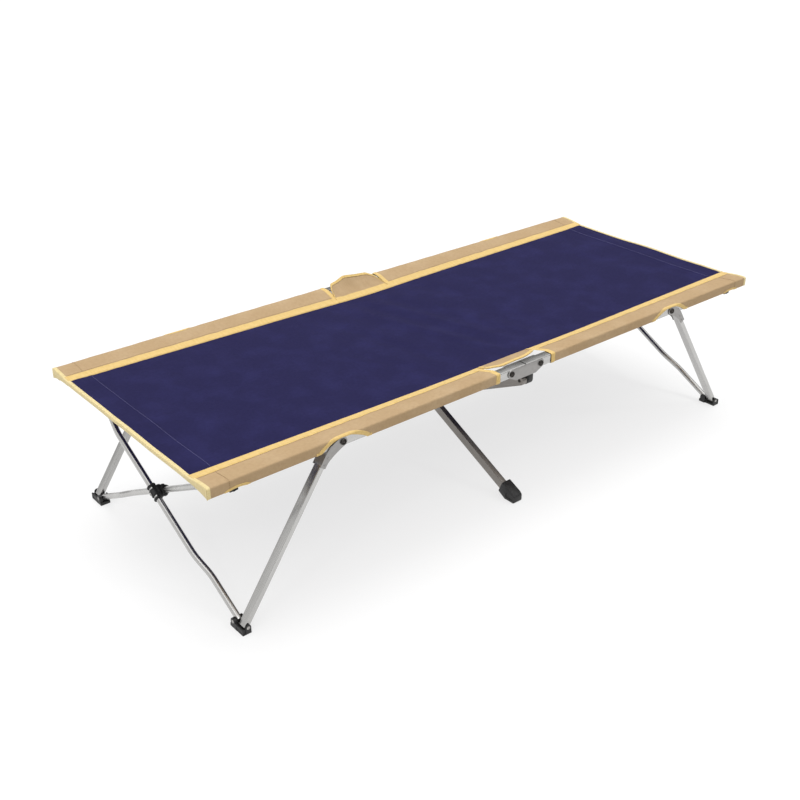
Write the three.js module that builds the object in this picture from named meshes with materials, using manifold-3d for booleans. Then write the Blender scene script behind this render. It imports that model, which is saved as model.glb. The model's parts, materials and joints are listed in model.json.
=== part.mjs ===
// A folding camp cot. Two jointed side rails carry a taut fabric bed on four splayed corner legs,
// a crossed pair of tubes at each end and a crossed pair of flat legs under the middle.
// Millimetres. X runs along the bed, -Y is the near side, +Z is up, and the floor is z = 0.
//
// Corner parts are drawn once, for the +X +Y corner, and mirrored into the other three.
import * as THREE from "three";
import { mergeVertices } from "three/addons/utils/BufferGeometryUtils.js";
import Module from "manifold-3d";

const wasm = await Module();
wasm.setup();

// ---------------------------------------------------------------- driving dimensions
const BED_LENGTH = 1900;
const CLEARANCE = 0.3; // between touching parts

const RAIL = { y: 364, z: 403, side: 25, wall: 1.6, innerEnd: 2, outerEnd: 938 };
const CENTRE_HINGE_X = 52.5;
const LEG_HINGE_X = 592;
const CORNER_X = 877; // the plane of the crossed end tubes
const CORNER_Y = 340; // pivots of the crossed end tubes
const KNUCKLE_Z = 383.5; // upper pivot of an end tube
const FOOT_Z = 18; // lower pivot of an end tube and of a corner leg

const LEG = { thick: 14, wide: 24, wall: 1.5, offset: 21.2, pastFoot: 5.5, belowHinge: 36 };
const CROSS = { radius: 8, joggle: 10, straight: 215, bendEnd: 185, pastPivot: 3 };
const MID = { thick: 16, deep: 26, wall: 1.5, x: 9, topY: 355, topZ: 358, footY: 365, angle: 25.8 };
const PLATE = 2; // sheet thickness of the stamped brackets
const CHEEK_GAP = 13.1; // from a rail's centre plane to the inside of a cheek plate
const PIN_RADIUS = 4;
const KNUCKLE_BLOCK = { half: 14, outer: 38 }; // the black block that carries a middle leg
const CLAMP = { radius: 11.2, length: 21, discRadius: 17, discThick: 5 }; // half of an end hub
const HANGER = { half: 11, drop: 7.5, stub: 4.5 }; // swivel bearing under a rail's outer end
const FORK = { radius: 9, thick: 3.5 }; // lugs of a rail knuckle

const SLEEVE = { start: 97, inner: 349.6, outer: 378.2, bottom: 389.3, top: 416.7 };
const BED = { bottom: 400, top: 404, halfWidth: 346.4, centreHalf: 52.2 };
const FLAP_HALF_LENGTH = 88;

// ---------------------------------------------------------------- materials
const finish = (color, roughness, metalness) =>
  new THREE.MeshStandardMaterial({ color, roughness, metalness });
const ALUMINIUM = finish(0xb9b9b7, 0.35, 1);
const DARK_ALUMINIUM = finish(0x5f5c5a, 0.4, 1);
const STEEL = finish(0x9a9896, 0.4, 1);
const RIVET_STEEL = finish(0x4a4846, 0.35, 1);
const BLACK_PLASTIC = finish(0x1e1e1e, 0.5, 0);
const NAVY_FABRIC = finish(0x313057, 0.85, 0);
const TAN_FABRIC = finish(0xc4a882, 0.85, 0);

// ---------------------------------------------------------------- solids
/** A closed geometry as a solid that can be joined and cut. */
function solid(geometry) {
  const plain = geometry.clone();
  plain.deleteAttribute("normal");
  plain.deleteAttribute("uv");
  const merged = mergeVertices(plain, 1e-4);
  return new wasm.Manifold(
    new wasm.Mesh({
      numProp: 3,
      vertProperties: new Float32Array(merged.attributes.position.array),
      triVerts: new Uint32Array(merged.index.array),
    }),
  );
}

/** A solid as a flat-shaded geometry. */
function geometryOf(body) {
  const mesh = body.getMesh();
  const indexed = new THREE.BufferGeometry()
    .setAttribute("position", new THREE.BufferAttribute(mesh.vertProperties, mesh.numProp))
    .setIndex(new THREE.BufferAttribute(mesh.triVerts, 1));
  const flat = indexed.toNonIndexed();
  flat.computeVertexNormals();
  return flat;
}

/** A box between two limits on each axis. */
function box([x0, x1], [y0, y1], [z0, z1]) {
  const geometry = new THREE.BoxGeometry(x1 - x0, y1 - y0, z1 - z0);
  return solid(geometry.translate((x0 + x1) / 2, (y0 + y1) / 2, (z0 + z1) / 2));
}

/** A span of width 2 * half around a middle. */
const about = (middle, half) => [middle - half, middle + half];

/** A cylinder along "x", "y" or "z" from one coordinate to another, through a point in the other two. */
function rod(axis, radius, [from, to], centre, sides = 16) {
  const geometry = new THREE.CylinderGeometry(radius, radius, to - from, sides);
  if (axis === "x") geometry.rotateZ(Math.PI / 2);
  if (axis === "z") geometry.rotateX(Math.PI / 2);
  const at = { x: 0, y: 0, z: 0, ...centre, [axis]: (from + to) / 2 };
  return solid(geometry.translate(at.x, at.y, at.z));
}

/** An outline in the X-Z plane, extruded along Y. */
function plateXZ(shape, [y0, y1], segments = 8) {
  const geometry = new THREE.ExtrudeGeometry(shape, {
    depth: y1 - y0,
    bevelEnabled: false,
    curveSegments: segments,
  });
  return solid(geometry.rotateX(Math.PI / 2).translate(0, y1, 0));
}

/** An outline in the Y-Z plane, extruded along X, with an optional chamfer inside its limits. */
function plateYZ(shape, [x0, x1], chamfer = 0, segments = 8) {
  const geometry = new THREE.ExtrudeGeometry(shape, {
    depth: x1 - x0 - 2 * chamfer,
    bevelEnabled: chamfer > 0,
    bevelThickness: chamfer,
    bevelSize: chamfer,
    bevelOffset: -chamfer,
    bevelSegments: 1,
    curveSegments: segments,
  });
  const upright = new THREE.Matrix4().set(0, 0, 1, x0 + chamfer, 1, 0, 0, 0, 0, 1, 0, 0, 0, 0, 0, 1);
  return solid(geometry.applyMatrix4(upright));
}

/** A closed outline through a list of points. */
const outline = (points) => new THREE.Shape(points.map(([a, b]) => new THREE.Vector2(a, b)));

/** A square or rectangular tube along Z, open at both ends. */
function boxTube(halfX, halfY, wall, [z0, z1]) {
  const shell = box(about(0, halfX), about(0, halfY), [z0, z1]);
  return shell.subtract(box(about(0, halfX - wall), about(0, halfY - wall), [z0 - 1, z1 + 1]));
}

// ---------------------------------------------------------------- group and placing
const group = new THREE.Group();

/** Adds one named piece, as a solid or a geometry, to a parent group. */
function add(name, shape, material, parent = group) {
  const geometry = shape.getMesh ? geometryOf(shape) : shape;
  const mesh = new THREE.Mesh(geometry, material);
  mesh.name = name;
  parent.add(mesh);
  return mesh;
}

const ENDS = [
  { name: "left", x: -1 },
  { name: "right", x: 1 },
];
const SIDES = [
  { name: "near", y: -1 },
  { name: "far", y: 1 },
];

/** A group that mirrors the +X +Y corner into another corner. */
function mirrored(x, y) {
  const corner = new THREE.Group();
  corner.scale.set(x, y, 1);
  group.add(corner);
  return corner;
}

// ---------------------------------------------------------------- rails and the centre hinge
const pinHole = (x, z) =>
  rod("y", PIN_RADIUS + CLEARANCE, about(RAIL.y, RAIL.side), { x, z }, 12);

/** Half a side rail: square tube, open at both ends, drilled for the two hinge rivets. */
function rail() {
  const half = RAIL.side / 2;
  const bore = half - RAIL.wall;
  const outside = box([RAIL.innerEnd, RAIL.outerEnd], about(RAIL.y, half), about(RAIL.z, half));
  const inside = box([0, BED_LENGTH / 2], about(RAIL.y, bore), about(RAIL.z, bore));
  return outside
    .subtract(inside)
    .subtract(pinHole(CENTRE_HINGE_X, RAIL.z))
    .subtract(pinHole(LEG_HINGE_X, RAIL.z));
}

/** The pair of cheek plates that straddle a rail, from one outline. */
function cheeks(shape, middle, segments) {
  const inner = plateXZ(shape, [middle - CHEEK_GAP - PLATE, middle - CHEEK_GAP], segments);
  const outer = plateXZ(shape, [middle + CHEEK_GAP, middle + CHEEK_GAP + PLATE], segments);
  return inner.add(outer);
}

const BRACKET = { eye: 12.5, webBottom: 381, webHalf: 36 };

/** Channel bracket of a centre hinge: two round-ended cheeks with a web under the rail ends, open on top. */
function centreBracket() {
  const { eye, webBottom, webHalf } = BRACKET;
  const under = -Math.PI / 3; // where the sloping lower edge meets an eye
  const shape = new THREE.Shape();
  shape.moveTo(-webHalf, webBottom);
  shape.lineTo(webHalf, webBottom);
  shape.absarc(CENTRE_HINGE_X, RAIL.z, eye, under, Math.PI / 2, false);
  shape.absarc(-CENTRE_HINGE_X, RAIL.z, eye, Math.PI / 2, Math.PI - under, false);
  const web = box(
    about(0, webHalf),
    about(RAIL.y, CHEEK_GAP + PLATE / 2),
    [webBottom, webBottom + PLATE],
  );
  return cheeks(shape, RAIL.y, 8)
    .add(web)
    .subtract(pinHole(CENTRE_HINGE_X, RAIL.z))
    .subtract(pinHole(-CENTRE_HINGE_X, RAIL.z));
}

/** Domed rivet along Y through a rail and the cheeks around it. */
function hingeRivet(headRadius, headHeight) {
  const shoulder = CHEEK_GAP + PLATE + CLEARANCE;
  const tail = 1.8; // the flattened head on the inner side
  const profile = [
    [0, -shoulder - tail],
    [headRadius - 2.5, -shoulder - tail],
    [headRadius - 2, -shoulder],
    [PIN_RADIUS, -shoulder],
    [PIN_RADIUS, shoulder],
    [headRadius, shoulder],
    [headRadius, shoulder + headHeight * 0.4],
    [headRadius * 0.7, shoulder + headHeight * 0.85],
    [0, shoulder + headHeight],
  ].map(([r, y]) => new THREE.Vector2(r, y));
  return new THREE.LatheGeometry(profile, 10);
}

/** Black block under a centre bracket: a slab under the web and one lug beside the middle leg. */
function middleKnuckle(side) {
  const pivot = { y: MID.topY, z: MID.topZ };
  const { half, outer } = KNUCKLE_BLOCK;
  const lug = [MID.x + MID.thick / 2 + CLEARANCE, outer];
  const top = BRACKET.webBottom - CLEARANCE;
  const slabBottom = MID.topZ + MID.deep / 2 + 2;
  return box([-half, outer], about(pivot.y, half), [slabBottom, top])
    .add(box(lug, about(pivot.y, half), [pivot.z, top]))
    .add(rod("x", half, lug, pivot, 16))
    .subtract(rod("x", PIN_RADIUS + CLEARANCE, [0, 2 * outer], pivot, 12))
    .scale([-side, side, 1]);
}

for (const side of SIDES) {
  const across = mirrored(1, side.y);
  add(`centre_bracket_${side.name}`, centreBracket(), STEEL, across);
  // The far knuckle is the near one after a half turn about Z, as the middle legs are.
  add(`middle_knuckle_${side.name}`, middleKnuckle(side.y), BLACK_PLASTIC);
  for (const end of ENDS) {
    const corner = mirrored(end.x, side.y);
    add(`rail_${side.name}_${end.name}`, rail(), ALUMINIUM, corner);
    const rivet = hingeRivet(8, 3);
    add(`centre_rivet_${side.name}_${end.name}`, rivet, RIVET_STEEL, corner).position.set(
      CENTRE_HINGE_X,
      RAIL.y,
      RAIL.z,
    );
  }
}

// ---------------------------------------------------------------- corner legs
const hingeToFoot = Math.hypot(CORNER_X - LEG_HINGE_X, RAIL.z - FOOT_Z);
const hingeLean = Math.atan2(CORNER_X - LEG_HINGE_X, RAIL.z - FOOT_Z);
const LEG_LEAN = hingeLean - Math.asin(LEG.offset / hingeToFoot);
const LEG_RUN = Math.sqrt(hingeToFoot ** 2 - LEG.offset ** 2); // foot pivot to hinge, along the leg

/** Places a piece drawn in the leg's own frame: origin at the foot pivot, Z up along the leg, X outboard. */
function onLeg(mesh) {
  mesh.position.set(CORNER_X, RAIL.y, FOOT_Z);
  mesh.rotation.y = -LEG_LEAN;
}

const legTube = () =>
  boxTube(LEG.thick / 2, LEG.wide / 2, LEG.wall, [-LEG.pastFoot, LEG_RUN - LEG.belowHinge]);

/** Goose-neck stamping on top of a leg: cheeks that straddle the rail, joined by a web over the leg's back. */
function legBracket() {
  const start = LEG_RUN - 90;
  const back = LEG.thick / 2 + CLEARANCE;
  const front = -LEG.thick / 2;
  const eye = { x: -LEG.offset, z: LEG_RUN, radius: 12 };
  const shape = new THREE.Shape();
  shape.moveTo(front, start);
  shape.lineTo(back + PLATE, start);
  shape.lineTo(back + PLATE, LEG_RUN - 38);
  shape.quadraticCurveTo(back - 1, LEG_RUN - 10, eye.x + eye.radius * Math.cos(0.5), eye.z + 6);
  shape.absarc(eye.x, eye.z, eye.radius, 0.5, 3.9, false);
  shape.quadraticCurveTo(eye.x + 3, eye.z - 26, front - 2.5, LEG_RUN - 50);
  shape.lineTo(front, LEG_RUN - 60);
  const web = box(
    [back, back + PLATE],
    about(0, CHEEK_GAP + PLATE / 2),
    [start, LEG_RUN - 38],
  );
  return cheeks(shape, 0, 6)
    .add(web)
    .subtract(rod("y", PIN_RADIUS + CLEARANCE, about(0, 20), { x: eye.x, z: eye.z }, 12));
}

// ---------------------------------------------------------------- feet of the corner legs
const FOOT = {
  inboard: 7,
  outboard: 17,
  inner: 328,
  outer: 382,
  floor: 6,
  lugTop: 9,
  wallHeight: 24,
  end: 4.6,
  thin: 2.5,
};

/** A lug with a round top: a block up to a pivot, with a cylinder around the pivot. */
function lug(axis, [from, to], pivot, radius, bottom) {
  const across = axis === "y" ? "x" : "y";
  const spans = { [axis]: [from, to], [across]: about(pivot[across], radius) };
  return box(spans.x, spans.y, [bottom, pivot.z]).add(rod(axis, radius, [from, to], pivot, 14));
}

/** Moulded foot: a slot for the leg in the outer half and a slot for the round tube in the inner half. */
function cornerFoot() {
  const split = RAIL.y - LEG.wide / 2 - 1; // the plane between the two slots
  const lugFace = RAIL.y + LEG.wide / 2 + 1.7;
  const outboardFace = CORNER_X + FOOT.outboard;
  const pivot = { x: CORNER_X, y: CORNER_Y, z: FOOT_Z };
  const tubeGap = CROSS.radius + 0.5;
  const innerFloor = FOOT_Z - CROSS.radius - 1.5;
  const outerBase = box([CORNER_X - FOOT.inboard, outboardFace], [split, FOOT.outer], [0, FOOT.floor]);
  const innerBase = box(
    [CORNER_X - tubeGap - FOOT.thin, outboardFace],
    [FOOT.inner, SLEEVE.inner - 0.5],
    [0, innerFloor],
  );
  const bridge = box([CORNER_X - FOOT.inboard, outboardFace], [split - 4, split + 2], [0, FOOT.floor]);
  const endWall = box(
    [outboardFace - FOOT.end, outboardFace],
    [FOOT.inner + 4, FOOT.outer],
    [0, FOOT.wallHeight - 7],
  );
  const outerLug = lug(
    "y",
    [lugFace, FOOT.outer],
    { x: CORNER_X + 1, z: FOOT_Z - 1 },
    8,
    0,
  );
  const tubeLugs = [
    [CORNER_X - tubeGap - FOOT.thin, CORNER_X - tubeGap],
    [CORNER_X + tubeGap, outboardFace],
  ].map((span) => lug("x", span, pivot, FOOT.lugTop, 0));
  return [innerBase, bridge, endWall, outerLug, ...tubeLugs].reduce(
    (whole, piece) => whole.add(piece),
    outerBase,
  );
}

// ---------------------------------------------------------------- crossed end tubes
const crossRise = (KNUCKLE_Z - FOOT_Z) / (2 * CORNER_Y);

/** Path of a round end tube from its foot at +Y to its knuckle at -Y, bent aside where the pair cross. */
function crossPath(joggle) {
  const stations = [
    [CORNER_Y, 0],
    [CROSS.straight, 0],
    [CROSS.bendEnd, joggle],
    [-CROSS.bendEnd, joggle],
    [-CROSS.straight, 0],
    [-CORNER_Y, 0],
  ];
  const slope = Math.hypot(1, crossRise);
  const reach = CROSS.pastPivot / slope;
  stations[0][0] += reach;
  stations[5][0] -= reach;
  const points = stations.map(
    ([y, aside]) =>
      new THREE.Vector3(CORNER_X + aside, y, FOOT_Z + (CORNER_Y - y) * crossRise),
  );
  const path = new THREE.CurvePath();
  const softness = 0.45; // share of each bent stretch taken up by its rounding
  let from = points[0];
  for (let i = 1; i < points.length - 1; i++) {
    const bend = points[i];
    const short = Math.min(bend.distanceTo(points[i - 1]), bend.distanceTo(points[i + 1]));
    const before = bend.clone().add(
      points[i - 1].clone().sub(bend).setLength(short * softness),
    );
    const after = bend.clone().add(
      points[i + 1].clone().sub(bend).setLength(short * softness),
    );
    path.add(new THREE.LineCurve3(from, before));
    path.add(new THREE.QuadraticBezierCurve3(before, bend, after));
    from = after;
  }
  path.add(new THREE.LineCurve3(from, points.at(-1)));
  return path;
}

/** Round end tube. */
function crossTube(joggle) {
  const section = new THREE.Shape().absarc(0, 0, CROSS.radius, 0, 2 * Math.PI);
  return solid(
    new THREE.ExtrudeGeometry(section, {
      steps: 36,
      curveSegments: 5,
      bevelEnabled: false,
      extrudePath: crossPath(joggle),
    }),
  );
}

/** Snap clamp on a round tube at the crossing, with half of the hub's disc on its inner face. */
function hubClamp(joggle) {
  const centre = { x: CORNER_X + joggle, z: 0 };
  const sign = Math.sign(joggle);
  const { length, discRadius, discThick } = CLAMP;
  const ring = rod("y", CLAMP.radius, about(0, length), centre, 20);
  const wing = box(
    about(CORNER_X + joggle - 3 * sign, 4),
    about(0, length),
    about(0, discRadius - 2),
  );
  // A span on this clamp's side of the plane between the pair.
  const beside = (near, far) =>
    sign > 0 ? [CORNER_X + near, CORNER_X + far] : [CORNER_X - far, CORNER_X - near];
  const disc = rod("x", discRadius, beside(CLEARANCE, discThick), {}, 24);
  const past = box(beside(-2 * length, CLEARANCE), about(0, 2 * length), about(0, 2 * length));
  const bore = rod("y", CROSS.radius + CLEARANCE, about(0, 2 * length), centre, 12);
  const clamp = ring.add(wing).add(disc).subtract(bore).subtract(past);
  const tilt = -THREE.MathUtils.radToDeg(Math.atan(crossRise));
  return clamp.rotate([tilt, 0, 0]).translate([0, 0, (KNUCKLE_Z + FOOT_Z) / 2]);
}

/** Hanger screwed under a rail's outer end, bored along Y for the knuckle's stub. */
function railHanger() {
  const { half, drop, stub } = HANGER;
  const top = RAIL.z - RAIL.side / 2 - CLEARANCE;
  const bore = rod("y", stub + CLEARANCE, about(RAIL.y, 20), { x: CORNER_X, z: KNUCKLE_Z }, 16);
  return box(about(CORNER_X, half), about(RAIL.y, half), [KNUCKLE_Z - drop, top]).subtract(bore);
}

/** Swivelling fork that holds the upper end of an end tube: a stub in the hanger and two lugs. */
function railKnuckle() {
  const pivot = { x: CORNER_X, y: CORNER_Y, z: KNUCKLE_Z };
  const gap = CROSS.radius + 0.5;
  const { radius, thick } = FORK;
  const back = RAIL.y - RAIL.side / 2 - 0.6;
  const lugs = [
    [CORNER_X - gap - thick, CORNER_X - gap],
    [CORNER_X + gap, CORNER_X + gap + thick],
  ].map((span) =>
    rod("x", radius, span, pivot, 14).add(box(span, [pivot.y, back], about(pivot.z, radius))),
  );
  const plate = box(about(CORNER_X, gap + thick), [back - 1.9, back], about(pivot.z, radius));
  const axle = { x: CORNER_X, z: KNUCKLE_Z };
  const stub = rod("y", HANGER.stub, [back - 1, RAIL.y + HANGER.half], axle, 16);
  return plate.add(stub).add(lugs[0]).add(lugs[1]);
}

for (const side of SIDES) {
  for (const end of ENDS) {
    const corner = mirrored(end.x, side.y);
    const at = `${side.name}_${end.name}`;
    // Near-footed tubes step aside towards -X at both ends of the cot, far-footed ones towards +X.
    const joggle = CROSS.joggle * side.y * end.x;
    onLeg(add(`leg_tube_${at}`, legTube(), ALUMINIUM, corner));
    onLeg(add(`leg_bracket_${at}`, legBracket(), STEEL, corner));
    const rivet = hingeRivet(8, 4);
    add(`leg_rivet_${at}`, rivet, RIVET_STEEL, corner).position.set(LEG_HINGE_X, RAIL.y, RAIL.z);
    add(`corner_foot_${at}`, cornerFoot(), BLACK_PLASTIC, corner);
    add(`cross_tube_${at}`, crossTube(joggle), ALUMINIUM, corner);
    add(`hub_clamp_${at}`, hubClamp(joggle), BLACK_PLASTIC, corner);
    add(`rail_hanger_${at}`, railHanger(), BLACK_PLASTIC, corner);
    add(`rail_knuckle_${at}`, railKnuckle(), BLACK_PLASTIC, corner);
  }
}

// ---------------------------------------------------------------- crossed middle legs
const MID_SLOPE = THREE.MathUtils.degToRad(MID.angle);
const MID_HUB_Z = MID.topZ - MID.topY * Math.tan(MID_SLOPE);
const MID_RUN = (MID.topY + MID.footY) / Math.cos(MID_SLOPE);
const MID_FOOT_GAP = 16; // the tube stops this far short of the foot point, above the foot's floor

/** Turns a piece drawn along +Y from the upper pivot so that it slopes down to the foot. */
const alongMiddleLeg = (body) =>
  body.rotate([-MID.angle, 0, 0]).translate([0, -MID.topY, MID.topZ]);

/** Flat tube of a middle leg, with its foot at +Y: round at the hinge, open at the foot. */
function middleLeg() {
  const thick = about(MID.x, MID.thick / 2);
  const bore = about(MID.x, MID.thick / 2 - MID.wall);
  const half = MID.deep / 2;
  const end = MID_RUN - MID_FOOT_GAP;
  const hubAt = MID.topY / Math.cos(MID_SLOPE);
  const tube = box(thick, [0, end], about(0, half))
    .add(rod("x", half, thick, { y: 0 }, 20))
    .subtract(box(bore, [half, end + 1], about(0, half - MID.wall)))
    .subtract(rod("x", PIN_RADIUS + CLEARANCE, about(MID.x, 20), { y: 0 }, 12))
    .subtract(rod("x", PIN_RADIUS + CLEARANCE, about(MID.x, 20), { y: hubAt }, 12));
  return alongMiddleLeg(tube);
}

/** Chamfered cap on the foot of a middle leg, with a blind socket for the tube. */
function middleFoot() {
  const shape = outline([
    [MID.footY - 18, 0],
    [MID.footY + 15, 0],
    [MID.footY + 19, 4],
    [MID.footY + 19, 22],
    [MID.footY + 11, 29],
    [MID.footY - 30, 48],
    [MID.footY - 44, 15],
  ]);
  const socket = box(
    about(MID.x, MID.thick / 2 + CLEARANCE),
    [MID_RUN / 2, MID_RUN - MID_FOOT_GAP + CLEARANCE],
    about(0, MID.deep / 2 + CLEARANCE),
  );
  return plateYZ(shape, about(MID.x, 15.5), 2.5).subtract(alongMiddleLeg(socket));
}

/** Pin through both middle legs where they cross. */
function middleHubPin() {
  const reach = MID.x + MID.thick / 2 + CLEARANCE;
  const centre = { y: 0, z: MID_HUB_Z };
  return rod("x", PIN_RADIUS, about(0, reach + 1), centre, 12)
    .add(rod("x", 8, [reach, reach + 3], centre, 16))
    .add(rod("x", 8, [-reach - 3, -reach], centre, 16));
}

for (const side of SIDES) {
  // The near leg is the far one after a half turn about Z.
  const turned = new THREE.Group();
  turned.rotation.z = side.y > 0 ? 0 : Math.PI;
  group.add(turned);
  add(`middle_leg_${side.name}`, middleLeg(), DARK_ALUMINIUM, turned);
  add(`middle_foot_${side.name}`, middleFoot(), BLACK_PLASTIC, turned);
}
add("middle_hub_pin", middleHubPin(), RIVET_STEEL);

// ---------------------------------------------------------------- fabric
/** Cut-out in a sleeve's walls around a leg hinge, as an outline in X and Z. */
function archCut() {
  const shape = new THREE.Shape();
  const bottom = SLEEVE.bottom - 5;
  shape.moveTo(LEG_HINGE_X - 75, bottom);
  shape.lineTo(LEG_HINGE_X + 68, bottom);
  shape.lineTo(LEG_HINGE_X + 66, SLEEVE.bottom + 1);
  shape.quadraticCurveTo(LEG_HINGE_X + 42, RAIL.z + 12.6, LEG_HINGE_X + 14, RAIL.z + 12.8);
  shape.lineTo(LEG_HINGE_X - 20, RAIL.z + 12.8);
  shape.quadraticCurveTo(LEG_HINGE_X - 64, RAIL.z + 12, LEG_HINGE_X - 75, SLEEVE.bottom + 1);
  return plateXZ(shape, about(RAIL.y, 30), 6);
}

/** Fabric sleeve around half a rail: a flat tube open at both ends, cut away at the hinges. */
function sleeve() {
  const end = BED_LENGTH / 2;
  const half = RAIL.side / 2 + 0.4;
  const shell = box([SLEEVE.start, end], [SLEEVE.inner, SLEEVE.outer], [SLEEVE.bottom, SLEEVE.top]);
  const pocket = box([0, end + 10], about(RAIL.y, half), about(RAIL.z, half));
  const notch = box(about(CORNER_X, 30), [RAIL.y - 30, RAIL.y + 11.6], [0, RAIL.z - 2]);
  return shell.subtract(pocket).subtract(archCut()).subtract(notch);
}

/** Bed panel between two stations along the cot. */
const bedPanel = (span) => box(span, about(0, BED.halfWidth), [BED.bottom, BED.top]);

/** Flap over a centre hinge, from its outline in Y and Z. */
const flap = (points) => plateYZ(outline(points), about(0, FLAP_HALF_LENGTH));

for (const side of SIDES) {
  for (const end of ENDS) {
    add(`sleeve_${side.name}_${end.name}`, sleeve(), TAN_FABRIC, mirrored(end.x, side.y));
  }
}
const panelStart = BED.centreHalf + 2 * CLEARANCE;
add("bed_left", bedPanel([-BED_LENGTH / 2, -panelStart]), NAVY_FABRIC);
add("bed_centre", bedPanel(about(0, BED.centreHalf)), NAVY_FABRIC);
add("bed_right", bedPanel([panelStart, BED_LENGTH / 2]), NAVY_FABRIC);
const tuckedFlap = flap([
  [-320, 399.4],
  [-320, 397.8],
  [-341, 384],
  [-342.5, 385],
]);
const standingFlap = flap([
  [349.4, 417.2],
  [350.6, 417.2],
  [378, 434.5],
  [377, 436],
]);
add("flap_near", tuckedFlap, TAN_FABRIC);
add("flap_far", standingFlap, TAN_FABRIC);

export default group;
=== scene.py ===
import json
import math

import bmesh
import bpy
from mathutils import Matrix, Vector, noise


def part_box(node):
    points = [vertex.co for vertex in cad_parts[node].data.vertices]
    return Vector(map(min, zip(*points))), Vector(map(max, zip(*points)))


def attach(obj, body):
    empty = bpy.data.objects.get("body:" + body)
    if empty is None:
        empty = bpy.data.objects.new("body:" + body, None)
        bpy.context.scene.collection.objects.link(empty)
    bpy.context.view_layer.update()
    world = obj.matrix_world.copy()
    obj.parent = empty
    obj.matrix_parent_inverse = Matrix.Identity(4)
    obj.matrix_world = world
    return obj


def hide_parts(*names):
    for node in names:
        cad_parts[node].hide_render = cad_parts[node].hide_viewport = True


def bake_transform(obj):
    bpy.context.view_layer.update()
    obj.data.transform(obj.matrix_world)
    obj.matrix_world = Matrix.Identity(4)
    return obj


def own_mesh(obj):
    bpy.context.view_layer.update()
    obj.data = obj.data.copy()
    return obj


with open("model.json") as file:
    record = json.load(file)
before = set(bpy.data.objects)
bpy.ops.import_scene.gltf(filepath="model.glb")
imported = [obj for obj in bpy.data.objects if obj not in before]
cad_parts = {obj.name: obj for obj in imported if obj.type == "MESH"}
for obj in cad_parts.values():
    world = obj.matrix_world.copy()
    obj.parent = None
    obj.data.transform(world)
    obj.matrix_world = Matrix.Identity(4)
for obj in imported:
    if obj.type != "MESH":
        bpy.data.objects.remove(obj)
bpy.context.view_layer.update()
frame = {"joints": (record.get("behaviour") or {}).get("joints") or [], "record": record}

# Pieces are drawn in millimetres in the cot's own frame and turned into metres when they are made.
# X runs along the bed, -Y is the near side, +Z is up. Corner pieces are drawn once, for the +X +Y
# corner, and mirrored into the other three.
MM = 0.001
SCENE = bpy.context.scene
SIDES = (("near", -1), ("far", 1))
ENDS = (("left", -1), ("right", 1))
CORNERS = [(side, end, sx, sy) for side, sy in SIDES for end, sx in ENDS]
UP = Vector((0, 0, 1))
ORIGIN = Vector((0, 0, 0))
BODY_OF = {n: body for body, nodes in frame["record"]["behaviour"]["bodies"].items() for n in nodes}
JOINT_AT = {j["name"]: Vector(j["pos_m"]) / MM for j in frame["joints"]}


def low(node):
    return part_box(node)[0] / MM


def high(node):
    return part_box(node)[1] / MM


# ---------------------------------------------------------------- places taken from the frame
BED_END = high("bed_right").x
HINGE = JOINT_AT["rail_hinge_far_right"]
LEG_EYE = JOINT_AT["leg_hinge_far_right"]
KNUCKLE = JOINT_AT["knuckle_swivel_far_right"]
FOOT = JOINT_AT["foot_pivot_far_right"]
HUB = JOINT_AT["middle_scissor"]
MID_TOP = Vector((9, -JOINT_AT["far_bracket_pivot"].y, JOINT_AT["far_bracket_pivot"].z))
RAIL = HINGE.y
RAIL_Z = HINGE.z
RAIL_HALF = (high("rail_far_right").z - low("rail_far_right").z) / 2
RAIL_ENDS = (low("rail_far_right").x, high("rail_far_right").x)
CHEEK = (high("centre_bracket_far").y - low("centre_bracket_far").y) / 2  # outer face from the rail's middle
PLATE = 2.0
INSIDE = CHEEK - PLATE
PIN = 4.0
CLOTH = 0.9
SLEEVE_START, SLEEVE_INNER, SLEEVE_BOTTOM = low("sleeve_far_right")
_, SLEEVE_OUTER, SLEEVE_TOP = high("sleeve_far_right")


# ---------------------------------------------------------------- mesh helpers
def temp(verts, faces):
    """An object of bare mesh, in millimetres, that a later step turns into a piece."""
    mesh = bpy.data.meshes.new("temp")
    mesh.from_pydata([tuple(v) for v in verts], [], faces)
    mesh.update()
    obj = bpy.data.objects.new("temp", mesh)
    SCENE.collection.objects.link(obj)
    return obj


def drop(*objs):
    for obj in objs:
        mesh = obj.data
        bpy.data.objects.remove(obj)
        bpy.data.meshes.remove(mesh)


def apply(obj):
    """Turns an object's modifiers into its mesh."""
    evaluated = obj.evaluated_get(bpy.context.evaluated_depsgraph_get())
    mesh = bpy.data.meshes.new_from_object(evaluated)
    old = obj.data
    obj.modifiers.clear()
    obj.data = mesh
    bpy.data.meshes.remove(old)
    return obj


def tidy_mesh(obj, merge=0.001):
    """Merges vertices closer than merge and points the faces outward."""
    bm = bmesh.new()
    bm.from_mesh(obj.data)
    if merge:
        bmesh.ops.remove_doubles(bm, verts=bm.verts, dist=merge)
    bmesh.ops.recalc_face_normals(bm, faces=bm.faces)
    bm.to_mesh(obj.data)
    bm.free()
    return obj


def bevelled(obj, width, segments=2, angle=30):
    mod = obj.modifiers.new("bevel", "BEVEL")
    mod.width = width
    mod.segments = segments
    mod.limit_method = "ANGLE"
    mod.angle_limit = math.radians(angle)
    return apply(obj)


def combined(base, others, operation):
    for other in others:
        mod = base.modifiers.new("boolean", "BOOLEAN")
        mod.object = other
        mod.operation = operation
        mod.solver = "EXACT"
    apply(base)
    drop(*others)
    return base


def joined(base, *others):
    """One closed solid from several that overlap."""
    return combined(base, others, "UNION")


def cut(base, *others):
    return combined(base, others, "DIFFERENCE")


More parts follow.
